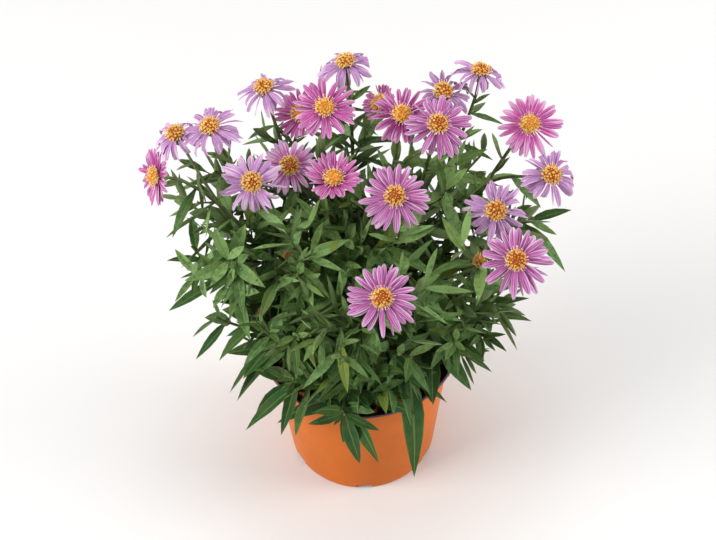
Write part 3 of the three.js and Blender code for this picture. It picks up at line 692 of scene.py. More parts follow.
def petal_tissue(name, body, pale):
    """Ray petal: velvety and thin, streaked lengthwise, deep at its base and pale at its edges and tip."""
    material, tree, shader = material_of(name)
    spot = add(tree, "UVMap", uv_map="blade")
    split = add(tree, "SeparateXYZ", {"Vector": spot})
    tone = add(tree, "Attribute", attribute_name="tone").outputs["Fac"]
    along = add(tree, "Mapping", {"Vector": spot, "Scale": (3.4, 0.8, 1)})
    shifted = add(tree, "VectorMath", {0: along, 1: tone}, operation="ADD")
    streak = add(tree, "TexNoise", {"Vector": shifted, "Scale": 1.3, "Detail": 3})
    tip = add(tree, "MapRange", {
        "Value": split.outputs["Y"], "From Min": 0.3, "From Max": 1.0, "To Min": 0.0, "To Max": 0.5})
    middle = add(tree, "Math", {0: split.outputs["X"], 1: 0.5}, operation="SUBTRACT")
    aside = add(tree, "Math", {0: middle}, operation="ABSOLUTE")
    rim = add(tree, "MapRange", {
        "Value": aside, "From Min": 0.28, "From Max": 0.5, "To Min": 0.0, "To Max": 0.4})
    worn = add(tree, "Math", {0: tip, 1: rim}, operation="ADD")
    # Painted light and shade: the tone, random per ray and shifted per flower, pales the ray and moves it
    # between a darker and a lighter copy of its colour.
    tone_and_light_paling = add(tree, "Math", {0: tone, 1: 0.5, 2: -0.25}, operation="MULTIPLY_ADD")
    paler = add(tree, "Math", {0: worn, 1: tone_and_light_paling}, operation="ADD")
    shade = add(tree, "MapRange", {
        "Value": streak, "From Min": 0.35, "From Max": 0.65, "To Min": -0.35, "To Max": 0.55})
    share = add(tree, "Math", {0: paler, 1: shade}, operation="ADD", use_clamp=True)
    deep = add(tree, "Mix", {
        "Factor": tone, "A": shaded(body, 0.62), "B": shaded(body, 1.3)}, data_type="RGBA")
    skin = add(tree, "Mix", {"Factor": share, "A": deep, "B": pale}, data_type="RGBA")
    bump = add(tree, "Bump", {"Height": streak, "Strength": 0.5, "Distance": 0.2 * MM})
    fill(shader, {
        "Base Color": skin, "Normal": bump, "Roughness": 0.6, "Specular IOR Level": 0.3,
        "Subsurface Weight": 0.15, "Subsurface Radius": (1, 0.5, 0.8), "Subsurface Scale": 1 * MM})
    return material


def floret_tissue(colours):
    """Disc florets: waxy tubes darkened to brown towards their feet, as painted shade between them, orange
    where closed, with bright yellow lobes.
    """
    material, tree, shader = material_of("floret_tissue")
    tone = add(tree, "Attribute", attribute_name="tone").outputs["Fac"]
    low = add(tree, "MapRange", {"Value": tone, "From Max": 0.45})
    high = add(tree, "MapRange", {"Value": tone, "From Min": 0.45, "From Max": 0.9})
    tube = add(tree, "Mix", {
        "Factor": low, "A": colours.floret_gap_shade, "B": colours.floret_bud}, data_type="RGBA")
    lobes = add(tree, "Mix", {"Factor": high, "A": tube, "B": colours.floret}, data_type="RGBA")
    fill(shader, {"Base Color": lobes, "Roughness": 0.6})
    return material


def dry_tissue(colours):
    """Withered flower head: papery, from brown to straw yellow."""
    material, tree, shader = material_of("dry_tissue")
    place = add(tree, "TexCoord").outputs["Object"]
    tone = add(tree, "Attribute", attribute_name="tone").outputs["Fac"]
    crease = add(tree, "TexNoise", {"Vector": place, "Scale": 1 / (1.5 * MM), "Detail": 4})
    share = add(tree, "Math", {0: tone, 1: crease}, operation="MULTIPLY")
    skin = add(tree, "Mix", {"Factor": share, "A": colours.dry, "B": linear("f0c070")}, data_type="RGBA")
    fill(shader, {"Base Color": skin, "Roughness": 0.8})
    return material


def style_tissue(colours):
    """Styles and pappus: pale, thin and dry."""
    material, tree, shader = material_of("style_tissue")
    place = add(tree, "TexCoord").outputs["Object"]
    speck = add(tree, "TexNoise", {"Vector": place, "Scale": 1 / (1.2 * MM)})
    skin = add(tree, "Mix", {"Factor": speck, "A": colours.style, "B": linear("f6cdb4")}, data_type="RGBA")
    fill(shader, {"Base Color": skin, "Roughness": 0.7})
    return material


def moulded_plastic(name, colour):
    """Moulded polypropylene: satin, with a fine grain from the mould and faint scuffs from handling."""
    material, tree, shader = material_of(name)
    place = add(tree, "TexCoord").outputs["Object"]
    cloud = add(tree, "TexNoise", {"Vector": place, "Scale": 1 / (45 * MM), "Detail": 2})
    scuffs = add(tree, "TexNoise", {"Vector": place, "Scale": 1 / (5 * MM), "Detail": 6, "Roughness": 0.7})
    worn = add(tree, "MapRange", {"Value": cloud, "From Min": 0.35, "From Max": 0.65, "To Max": 0.5})
    skin = add(tree, "Mix", {"Factor": worn, "A": colour, "B": shaded(colour, 0.75)}, data_type="RGBA")
    gloss = add(tree, "MapRange", {
        "Value": scuffs, "From Min": 0.3, "From Max": 0.75, "To Min": 0.34, "To Max": 0.5})
    grain = add(tree, "TexNoise", {"Vector": place, "Scale": 1 / (0.6 * MM), "Detail": 2})
    bump = add(tree, "Bump", {"Height": grain, "Strength": 0.15, "Distance": 0.05 * MM})
    fill(shader, {
        "Base Color": skin, "Roughness": gloss, "Normal": bump, "IOR": 1.49, "Specular IOR Level": 0.15})
    return material


def potting_mix(colours):
    """Moist peat and bark: almost black, rough, with brown crumbs and a few that are dry."""
    material, tree, shader = material_of("potting_mix")
    place = add(tree, "TexCoord").outputs["Object"]
    tone = add(tree, "Attribute", attribute_name="tone").outputs["Fac"]
    grain = add(tree, "TexNoise", {"Vector": place, "Scale": 1 / (3 * MM), "Detail": 8, "Roughness": 0.7})
    share = add(tree, "Math", {0: tone, 1: grain}, operation="MULTIPLY")
    spread = add(tree, "MapRange", {"Value": share, "From Min": 0.25, "From Max": 0.62})
    earth = add(tree, "Mix", {"Factor": spread, "A": colours.soil, "B": colours.bark_crumb}, data_type="RGBA")
    bump = add(tree, "Bump", {"Height": grain, "Strength": 1.0, "Distance": 0.8 * MM})
    fill(shader, {"Base Color": earth, "Normal": bump, "Roughness": 0.85})
    return material


def pale_floor():
    """Matt pale studio board."""
    material, tree, shader = material_of("pale_floor")
    place = add(tree, "TexCoord").outputs["Object"]
    cloud = add(tree, "TexNoise", {"Vector": place, "Scale": 2.0})
    board = add(tree, "Mix", {
        "Factor": cloud, "A": linear("f2f1ef"), "B": linear("f6f6f5")}, data_type="RGBA")
    fill(shader, {"Base Color": board, "Roughness": 0.8})
    return material


def blade_points(blank, line, across, width, shares, stations, fold=0.0, thick=0.4, wave=0.0,
                 twist=0.0, grooved=0.0, curl=0.0):
    """A blank bent along a line: folded at its midrib, waved along its edges and twisted."""
    u, v, below = blank.points.T
    middle = bezier(line, v)
    way = tangent(line, v)
    normal = np.cross(across, way)
    turn = np.radians(twist * v)[:, None]
    side = across * np.cos(turn) + normal * np.sin(turn)
    face = normal * np.cos(turn) - across * np.sin(turn)
    wide = width * np.interp(v, stations, shares)
    rise = -fold * wide * (1 - np.abs(u)) ** 1.2
    rise += wave * width * u * np.abs(u) * np.sin(9 * v + 40 * wave)
    rise += grooved * wide * (1 - np.cos(2 * math.pi * u)) * 0.5
    rise -= curl * width * np.clip(v - 0.35, 0, 1) ** 2
    return middle + side * (u * wide / 2)[:, None] + face * (rise + below * thick)[:, None]


def spots_of(blank):
    """Where each corner of a blade lies on it: across and along, from 0 to 1."""
    return np.stack([blank.points[:, 0] * 0.5 + 0.5, blank.points[:, 1]], axis=1)


def is_open_air(points, is_free=False):
    """Whether added leaves keep within the bush, and off the flowers, the pot's wall and the soil."""
    for point in points:
        reach = math.hypot(point[0], point[1])
        if reach > BUSH_FOOT + BUSH_SLOPE * (point[2] - POT_HEIGHT) and not is_free:
            return False
        is_low = point[2] < POT_HEIGHT + LIP_ROOM
        if is_low and reach > POT_SHOULDER - WALL_ROOM or point[2] < SOIL_TOP + SOIL_ROOM:
            return False
        if any(np.linalg.norm(point - np.array(place)) < HEAD_ROOM for _, place, _, _ in DRY_HEADS):
            return False
        if any(np.linalg.norm(point - np.array(place)) < radius for place, radius in CLEARINGS):
            return False
        for bloom in BLOOMS:
            local = (point - seat_of(bloom)) @ flower_frame(bloom)
            aside = math.hypot(local[0], local[1])
            rays = max(aside - RAY_BEND, 0) * math.sin(math.radians(bloom.open)) + RAY_LEVEL
            if aside < bloom.span / 2 + RAY_ROOM and -ROOM_BELOW < local[2] - rays < ROOM_ABOVE:
                return False
    low, high = np.array(CAD_BOX[0]) / MM - BOX_ROOM, np.array(CAD_BOX[1]) / MM + BOX_ROOM
    return bool(np.all(np.array(points) > low) and np.all(np.array(points) < high))


class Foliage:
    """The leaves and thin shoots of one stem as they are laid, with the blanks they are made from."""

    def __init__(self, blank, thick, number):
        self.heap, self.blank, self.thick, self.number = Gathering(), blank, thick, number
        self.spots = spots_of(blank)
        self.laid = 0
        self.twigs = []

    def lay(self, leaf, line, across, youth, fold=0.16):
        self.laid += 1
        draw = partial(chance, self.number, self.laid)
        line = [line[0], line[1] + across * leaf.length * 0.12 * (draw(10) - 0.5), line[2]]
        points = blade_points(
            self.blank, line, across, leaf.length / leaf.slender, LEAF_SHARES, LEAF_STATIONS, fold,
            self.thick * min(1, leaf.length / 24), 0.05 * mix(-1, 1, draw(11)), 26 * mix(-1, 1, draw(12)))
        # Painted light and shade: the higher a leaf's tip stands above the lip, the higher its tone and the
        # paler its colour, so low leaves stay dark. The young colour also rises a little with height.
        light = float(np.clip((line[2][2] - POT_HEIGHT) / LIT_HEIGHT, 0, 1)) ** 1.5
        is_yellow = youth > 0.1 and draw(15) < YELLOW_SHARE
        young = youth * mix(0.3, 1, draw(14)) * mix(0.4, 1, light) + 0.1 * light + (0.8 if is_yellow else 0)
        self.heap.add(points, self.blank, 0, draw(13) * mix(0.1, 2.6, light), young, self.spots)

    def try_leaf(self, leaf, youth):
        """Lays a leaf that has no solid, where it has room."""
        line, across = leaf_line(leaf)
        if is_open_air(bezier(line, np.array((0.45, 0.75, 1)))):
            self.lay(leaf, line, across, youth)

    def hang(self, root, tip, slender, front):
        """A single leaf from one place to another, arched a little, with its face to the front."""
        reach = tip - root
        length = np.linalg.norm(reach)
        leaf = Leaf(root, UP, UP, 0, length, 0, slender)
        knee = root + 0.5 * reach + 0.14 * length * front
        self.lay(leaf, [root, knee, tip], unit(np.cross(reach, front)), 0.1)

    def grow(self, start, way, length, count, leaf_length, youth, seed, is_free=False):
        """A short leafy shoot: a twig with leaves in a spiral and a rosette of small ones at its tip."""
        end = start + way * length + UP * 0.12 * length
        line = [start, start + way * 0.35 * length, end - unit(way + 0.5 * UP) * 0.3 * length, end]
        along, out = frame_of(line)
        leaves = []
        for i in range(count):
            at = mix(0.3, 1, i / (count - 1))
            away = spun(out, along, i * GOLDEN_ANGLE + 30 * chance(seed, i, 1))
            size = leaf_length * mix(1, 0.6, at) * mix(0.85, 1.15, chance(seed, i, 2))
            leaf = Leaf(bezier(line, at), tangent(line, at), away, mix(64, 36, at), size,
                        mix(0.05, 0.3, chance(seed, i, 3)), 4.6)
            bent = leaf_line(leaf)
            if is_open_air(bezier(bent[0], np.array((0.45, 0.75, 1))), is_free):
                leaves.append((leaf, *bent, mix(youth, 1.3 * youth, at)))
        if len(leaves) >= 0.6 * count and is_open_air([end], is_free):
            self.twigs.append((line, 0.75, 0.4))
            for leaf in leaves:
                self.lay(*leaf)


def tube_blanks(lines, sides_step):
    """Tapered tubes on a set of curves, each curve given with its radius at the start and the end."""
    deselect()
    bpy.ops.curve.primitive_bezier_curve_add()
    grown = bpy.context.object
    curve = grown.data
    curve.splines.clear()
    curve.dimensions = "3D"
    curve.resolution_u = 9
    curve.bevel_depth = MM
    curve.bevel_resolution = sides_step
    curve.use_fill_caps = True
    for line, start_radius, end_radius in lines:
        spline = curve.splines.new("BEZIER")
        spline.bezier_points.add(1)
        start, first, second, end = [Vector(handle * MM) for handle in line]
        for point, place, left, right, radius in (
                (spline.bezier_points[0], start, start - (first - start), first, start_radius),
                (spline.bezier_points[1], end, second, end + (end - second), end_radius)):
            point.handle_left_type = point.handle_right_type = "FREE"
            point.co, point.handle_left, point.handle_right, point.radius = place, left, right, radius
    bpy.ops.object.convert(target="MESH")
    blank = take(bpy.context.object)
    return Blank(blank.points / MM, blank.faces, [0.0] * len(blank.faces))


def cup_blank():
    """The green cup under a flower, from its foot up to its mouth, with its rim turned in."""
    height = CUP_HEIGHT + GAP
    return take(turned([(1.2, -height), (2.3, -0.8 * height), (3.6, -0.45 * height),
                        (CUP_MOUTH, -0.12 * height), (CUP_MOUTH - 0.4, GAP)], 12))


def add_cup(heap, bloom, cup, bract, number):
    """A flower's green cup with three whorls of narrow bracts on it."""
    turn, seat = flower_frame(bloom), seat_of(bloom)
    heap.add(cup.points @ turn.T + seat, cup, 0, 0.6, 0.15)
    for whorl, (radius, foot, length) in enumerate(((2.2, -5.4, 3.4), (3.3, -3.9, 3.6), (4.1, -2.3, 3.4))):
        for i in range(10):
            out = compass(36 * (i + 0.5 * whorl) + 12 * (chance(number, whorl, i) - 0.5))
            root = out * radius + UP * foot
            tip = root + (out * mix(0.35, 0.8, chance(number, whorl, i, 5)) + UP) * length
            line = [root, root + (out * 0.45 + UP * 0.6) * length * 0.5, tip]
            points = blade_points(
                bract, line, np.cross(UP, out), 1.3, BRACT_SHARES, BRACT_STATIONS, -0.12, 0.3)
            heap.add(points @ turn.T + seat, bract, 0, mix(0.3, 1.1, chance(number, whorl, i, 6)), 0.25)


def nearest(shoots, place):
    """The point of a plant's shoots, away from their ends, that lies nearest to a place."""
    points = [bezier(shoot.line, at) for shoot in shoots for at in (0.3, 0.4, 0.5, 0.6, 0.7)]
    return min(points, key=lambda point: np.linalg.norm(point - place))


def add_dry_head(heap, shoots, bract, place, size, yellow, number):
    """A withered flower head, closed over its own dry rays, and the twig that carries it."""
    near = nearest(shoots, place)
    foot = place - UP * 2
    for i in range(DRY_RAYS):
        draw = partial(chance, number, i)
        out = compass(i * GOLDEN_ANGLE)
        share = i / (DRY_RAYS - 1)
        wide = mix(0.3, 2.3, share) * size
        way = out * wide + UP * mix(4.2, 1.4, share) * size
        line = [foot, foot + out * wide * 1.3 + UP, foot + way * mix(0.8, 1.2, draw(61))]
        points = blade_points(
            bract, line, np.cross(UP, out), 1.6 * size, BRACT_SHARES, BRACT_STATIONS, 0.2, 0.3, 0.1,
            60 * draw(62))
        heap.add(points, bract, 2, yellow * mix(0.4, 1.4, draw(63)))
    return [near, mix(near, foot, 0.4), foot - UP * 6, foot], 0.8, 0.6


class ASTER_OT_leafy_stems(bpy.types.Operator):
    """Grows the leafy stems over their solids: ridged stems, folded leaves, tufts and green cups"""

    bl_idname = "aster.leafy_stems"
    bl_label = "Leafy stems"

    def execute(self, context):
        sizes, colours = context.scene.aster_sizes, context.scene.aster_colours
        leaf_blank = blade_blank(LEAF_STATIONS, 4, True)
        bract = blade_blank(BRACT_STATIONS, 2, True)
        cup = cup_blank()
        materials = [leaf_tissue(colours), stem_bark(colours), dry_tissue(colours)]
        for number, (name, root, listed) in enumerate(STEMS, 1):
            foliage = Foliage(leaf_blank, sizes.leaf_thickness / MM, number)
            corners = tips_of(name)
            shoots = shoots_of(root, listed)
            for shoot_number, shoot in enumerate(shoots, 1):
                self.leaf_shoot(foliage, corners, shoot, number, shoot_number, sizes.tuft_share)
                if shoot.bloom:
                    add_cup(foliage.heap, shoot.bloom, cup, bract, number * 10 + shoot_number)
            for i, (stem, tip, leaf_length) in enumerate(SPRIGS):
                if stem == name:
                    start = nearest(shoots, np.array(tip, float))
                    reach = np.array(tip) - start
                    foliage.grow(start, unit(reach), np.linalg.norm(reach), SPRIG_LEAVES, leaf_length, 0.2,
                                 SPRIG_SEED + i, True)
            for stem, root, tips, slender in HANGING:
                for tip in tips if stem == name else ():
                    foliage.hang(np.array(root, float), np.array(tip, float), slender, FRONT)
            for i, (stem, place, size, yellow) in enumerate(DRY_HEADS):
                if stem == name:
                    twig = add_dry_head(foliage.heap, shoots, bract, np.array(place), size, yellow, i)
                    foliage.twigs.append(twig)
            wood = tube_blanks([(s.line, 0.85 * s.kind.radius, 0.8 * s.kind.tip) for s in shoots], 2)
            foliage.heap.add(wood.points, wood, 1)
            if foliage.twigs:
                twigs = tube_blanks(foliage.twigs, 1)
                foliage.heap.add(twigs.points, twigs, 1)
            dress(foliage.heap.piece("leafy_" + name, materials), "leaf", name)
        return {"FINISHED"}

    def leaf_shoot(self, foliage, corners, shoot, number, shoot_number, tuft_share):
        """The solids' own leaves on one shoot, then smaller ones and tufts between them."""
        for at, tip in shoot.large:
            leaf = large_leaf(shoot, at, tip)
            settled = settled_line(leaf, corners)
            if settled:
                foliage.lay(leaf, *settled, 0.05)
        leaves = leaves_of(shoot, number, shoot_number)
        for i, leaf in enumerate(leaves):
            draw = partial(chance, number, shoot_number, i)
            youth = mix(0.0, 0.45, i / len(leaves))
            settled = settled_line(leaf, corners)
            if settled:
                foliage.lay(leaf, *settled, youth)
            at = mix(shoot.kind.first, shoot.kind.last, (i + 0.5) / len(leaves))
            if shoot.bloom and at > BARE_NECK:
                continue
            away = spun(leaf.out, leaf.along, 180 + 40 * (draw(20) - 0.5))
            foliage.try_leaf(leaf._replace(
                root=bezier(shoot.line, at), out=away, length=0.95 * leaf.length, slender=4.3,
                spread=leaf.spread * mix(0.8, 1.1, draw(21))), youth)
            if draw(22) < tuft_share:
                way = unit(leaf.along * 0.9 + leaf.out * 0.8)
                foliage.grow(
                    leaf.root, way, mix(9, 17, draw(23)), 4, mix(17, 30, draw(24)), 0.4,
                    number * 1000 + shoot_number * 100 + i)
        along, out = frame_of(shoot.line)
        for i, at in enumerate(TWIGS_AT):
            seed = number * 1000 + shoot_number * 100 + 60 + i
            way = unit(spun(out, along, 360 * chance(seed, 1)) + 0.5 * along + 0.25 * UP)
            foliage.grow(bezier(shoot.line, at), way, mix(22, 40, chance(seed, 2)), 7,
                         mix(34, 48, chance(seed, 3)), 0.2, seed)


class ASTER_OT_rays(bpy.types.Operator):
    """Sets each flower's ring of ray petals: narrow, grooved, blunt and a little twisted"""

    bl_idname = "aster.rays"
    bl_label = "Ray petals"

    def execute(self, context):
        sizes, colours = context.scene.aster_sizes, context.scene.aster_colours
        blank = blade_blank(RAY_STATIONS, 4, False)
        spots = spots_of(blank)
        tissue = {
            shade: petal_tissue(
                f"petal_tissue_{shade}", getattr(colours, f"rays_{shade}"),
                colours.ray_pink if shade == "fresh" else colours.ray_pale)
            for shade in ("fresh", "mid", "old")}
        for number, bloom in enumerate(BLOOMS, 1):
            heap = Gathering()
            turn, seat = flower_frame(bloom), seat_of(bloom)
            count = round(sizes.ray_count * mix(*RAY_CROWDS[bloom.shade], chance(number, 30)))
            for i in range(count):
                points, tone = self.ray_points(blank, bloom, sizes, number, i, count)
                heap.add(points @ turn.T + seat, blank, 0, tone, 0, spots)
            name = f"bloom_{number:02d}_rays"
            dress(heap.piece(f"petals_{number:02d}", [tissue[bloom.shade]]), f"rays_{bloom.shade}", name)
        return {"FINISHED"}

    def ray_points(self, blank, bloom, sizes, number, i, count):
        """One ray, in a ring with gaps and crowded places, and now and then rolled or bent aside."""
        draw = partial(chance, number, i)
        is_old = bloom.shade == "old"
        limp = OLD_LIMP if is_old else 1.0
        turn = (i + 0.7 * (draw(31) - 0.5)) * 360 / count
        out = compass(turn + 7 * math.sin(math.radians(3 * turn + 97 * number)))
        rise = math.radians(bloom.open + limp * 20 * (draw(32) - 0.5))
        arch = rise + math.radians(limp * mix(4, 24, draw(41)))
        raised = max(0, (flower_frame(bloom) @ out)[2])
        length = (bloom.span / 2 - RAY_BEND) * mix(0.86, 1.12, draw(33)) * (1 - UPPER_SHORT * raised)
        level = UP * (RAY_LEVEL + 0.8 * (i % 2 - 0.5))
        aside = np.cross(UP, out) * length * 0.24 * (draw(34) - 0.5)
        knee = out * RAY_BEND + level
        tip = knee + (out * math.cos(rise) + UP * math.sin(rise)) * length + aside * limp
        bulge = knee + (out * math.cos(arch) + UP * math.sin(arch)) * length * 0.6 + aside * 0.3
        width = sizes.ray_width / MM * bloom.span / RAY_WIDTH_SPAN * mix(0.8, 1.15, draw(35))
        rolled = ROLLED_WIDTH if draw(40) < ROLLED_SHARE else 1
        points = blade_points(
            blank, [out * RAY_ROOT + level, knee, bulge, tip], np.cross(out, UP), width * rolled, RAY_SHARES,
            RAY_STATIONS, 0.16 * (draw(36) - 0.4), sizes.ray_thickness / MM, 0.13 if is_old else 0.04,
            limp * 50 * (draw(37) - 0.5), 0.12, mix(-1, 4.5, draw(38)) if is_old else 0.9 * (draw(38) - 0.3))
        # The tone is random per ray, shifted by flower as painted light and shade.
        return points, float(np.clip(mix(0.25, 0.75, draw(39)) + PAINTED_LIGHTING.get(number, 0), 0, 1))


def open_floret():
    """An open disc floret: a tube that flares into five lobes, 1 high."""
    floret = turned([(0.3, 0), (0.36, 0.55), (0.62, 0.85), (0.95, 1.0), (0.3, 0.7)], 10)
    for i, vertex in enumerate(floret.data.vertices):
        if vertex.co.z > 0.9:
            angle = math.atan2(vertex.co.y, vertex.co.x)
            is_lobe = round(angle / math.radians(36)) % 2
            share = 1.2 if is_lobe else 0.55
            vertex.co.x *= share
            vertex.co.y *= share
    return take(floret)


def closed_floret():
    """A closed disc floret: a small pointed bud, 1 high."""
    return take(turned([(0.34, 0), (0.48, 0.5), (0.4, 0.8), (0.12, 1)], 6))


def style_blank():
    """A thin forked style, 1 high."""
    return take(turned([(0.09, 0), (0.07, 0.7), (0.12, 0.86), (0.03, 1)], 4))


class ASTER_OT_discs(bpy.types.Operator):
    """Fills each flower's button with disc florets in a golden spiral, with pale styles round it"""

    bl_idname = "aster.discs"
    bl_label = "Disc florets"

    def execute(self, context):
        sizes, colours = context.scene.aster_sizes, context.scene.aster_colours
        blanks = open_floret(), closed_floret(), style_blank()
        dome = take(turned([
            (4.6, 0), (BUTTON_RADIUS, 0.4), (0.9 * BUTTON_RADIUS, 1.7), (3.4, 2.7), (1.4, 3.2)], 16))
        materials = [floret_tissue(colours), style_tissue(colours)]
        for number, bloom in enumerate(BLOOMS, 1):
            heap = Gathering()
            turn, seat = flower_frame(bloom), seat_of(bloom) + facing(bloom) * BUTTON_BED
            # The dome takes the gap colour, painted shade between the florets, a little lighter under fresh
            # flowers.
            heap.add(dome.points @ turn.T + seat, dome, 0, 0.25 if bloom.shade == "fresh" else 0.0)
            for i in range(sizes.floret_count):
                self.stand_floret(heap, blanks, turn, seat, number, i, sizes.floret_count, bloom)
            for i in range(STYLE_COUNT):
                self.stand_style(heap, blanks[2], turn, seat, number, i)
            dress(heap.piece(f"disc_{number:02d}", materials), "button", f"bloom_{number:02d}_button")
        return {"FINISHED"}

    def stand_floret(self, heap, blanks, turn, seat, number, i, count, bloom):
        draw = partial(chance, number, i)
        opened, closed, _ = blanks
        share = math.sqrt((i + 0.5) / count)
        lean = share * math.radians(86)
        out = compass(i * GOLDEN_ANGLE)
        radius = BUTTON_RADIUS * (0.8 if bloom.shade == "fresh" else 0.86)
        foot = out * radius * math.sin(lean) + UP * (BUTTON_RISE * math.cos(lean) - 0.3)
        leaning = out * math.sin(lean) * 0.9 + UP * (0.35 + math.cos(lean))
        way = unit(leaning + 0.25 * compass(360 * draw(41)))
        stand = np.array(Vector(UP).rotation_difference(Vector(way)).to_matrix())
        is_open = share > mix(0.25, 0.6, draw(42)) - (0.2 if bloom.shade == "old" else 0)
        blank = opened if is_open else closed
        wide, high = 0.8, mix(1.2, 2, draw(43))
        if is_open:
            wide, high = mix(0.7, 0.95, draw(44)), mix(1.6, 3.0, draw(43))
        points = (blank.points * np.array((wide, wide, high))) @ stand.T + foot
        # Painted light and shade: each floret's tone falls towards its foot by the power depth, as shade
        # between the florets; flowers painted paler by number get brighter florets with less of it.
        paler = max(0, PAINTED_LIGHTING.get(number, 0))
        bright = (mix(0.8, 1.2, draw(45)) if is_open else mix(0.35, 0.85, draw(45))) * (1 + 0.5 * paler)
        depth = 0.6 if bloom.shade == "fresh" else 1.1 - 0.8 * paler
        heap.add(points @ turn.T + seat, blank, 0, bright * np.clip(blank.points[:, 2], 0, 1) ** depth)

    def stand_style(self, heap, style, turn, seat, number, i):
        """One of the pale styles that fringe the button."""
        draw = partial(chance, number, i)
        out = compass((i + draw(46)) * 360 / STYLE_COUNT)
        way = unit(out + UP * mix(0.15, 1.1, draw(47)))
        stand = np.array(Vector(UP).rotation_difference(Vector(way)).to_matrix())
        points = (style.points * np.array((2.2, 2.2, mix(2.2, 4.0, draw(48))))) @ stand.T
        points += out * BUTTON_RADIUS + UP * mix(0.2, 1.4, draw(49))
        heap.add(points @ turn.T + seat, style, 1)


class ASTER_OT_pot(bpy.types.Operator):
    """Turns the nursery pot: thin wall, rolled lip and drain slots at the foot"""

    bl_idname = "aster.pot"
    bl_label = "Nursery pot"

    def execute(self, context):
        colours = context.scene.aster_colours
        inner_shoulder = POT_HEIGHT - POT_LIP_HEIGHT - 1
        profile = [
            (POT_FOOT - 1.2, 0), (POT_FOOT - 0.2, 0.4), (POT_FOOT + 0.2, 1.4), (POT_FOOT + 0.6, 6),
            (POT_SHOULDER - 0.3, 94), (POT_SHOULDER, POT_HEIGHT - POT_LIP_HEIGHT),
            (POT_SHOULDER + 0.8, 99.4), (POT_LIP - 0.5, 102.4), (POT_LIP, 103), (POT_LIP, 103.7),
            (POT_LIP - 0.5, POT_HEIGHT), (POT_LIP - 1.1, POT_HEIGHT), (POT_LIP - POT_WALL - 0.3, 103.4),
            (POT_SHOULDER - 0.4, 99.6), (POT_SHOULDER - POT_WALL, inner_shoulder),
            (POT_FOOT - POT_WALL + 0.2, POT_FLOOR + 1), (POT_FOOT - POT_WALL - 1, POT_FLOOR)]
        pot = turned([(radius * MM, height * MM) for radius, height in profile], 128)
        pot.name = "nursery_pot"
        for i in range(SLOT_COUNT):
            self.cut_slot(pot, (i + 0.5) * 360 / SLOT_COUNT)
        for part, colour in (
                ("orange", colours.pot), ("rim", colours.pot_rim), ("inside", colours.pot_inside)):
            pot.data.materials.append(moulded_plastic(f"moulded_plastic_{part}", colour))
        for face in pot.data.polygons:
            reach = math.hypot(face.center.x, face.center.y)
            is_inside = face.normal.x * face.center.x + face.normal.y * face.center.y < -0.2 * reach
            if face.center.z > (POT_HEIGHT - 0.5) * MM:
                face.material_index = 1
            elif is_inside and face.center.z > POT_FLOOR * MM:
                face.material_index = 2
        dress(smoothed(pot, 40), "pot", "pot")
        return {"FINISHED"}

    def cut_slot(self, pot, angle):
        """One drain slot, cut with a rounded block."""
        deselect()
        place = compass(angle) * POT_FOOT * MM
        bpy.ops.mesh.primitive_cube_add(size=1, location=place, rotation=(0, 0, math.radians(angle)))
        block = bpy.context.object
        block.scale = (2 * SLOT_DEPTH * MM, SLOT_WIDTH * MM, 2 * SLOT_HEIGHT * MM)
        bpy.ops.object.transform_apply()
        edges = block.modifiers.new("Bevel", "BEVEL")
        edges.width, edges.segments = 1.2 * MM, 3
        bpy.ops.object.modifier_apply(modifier=edges.name)
        deselect()
        bpy.context.view_layer.objects.active = pot
        pot.select_set(True)
        cut = pot.modifiers.new("Slot", "BOOLEAN")
        cut.object, cut.operation, cut.solver = block, "DIFFERENCE", "EXACT"
        bpy.ops.object.modifier_apply(modifier=cut.name)
        bpy.data.objects.remove(block)


def soil_height(x, y):
    """The soil's uneven top, low and rolling."""
    return SOIL_TOP + SOIL_LUMPS * np.sin(x * 0.21 + 1) * np.sin(y * 0.17 + x * 0.05)


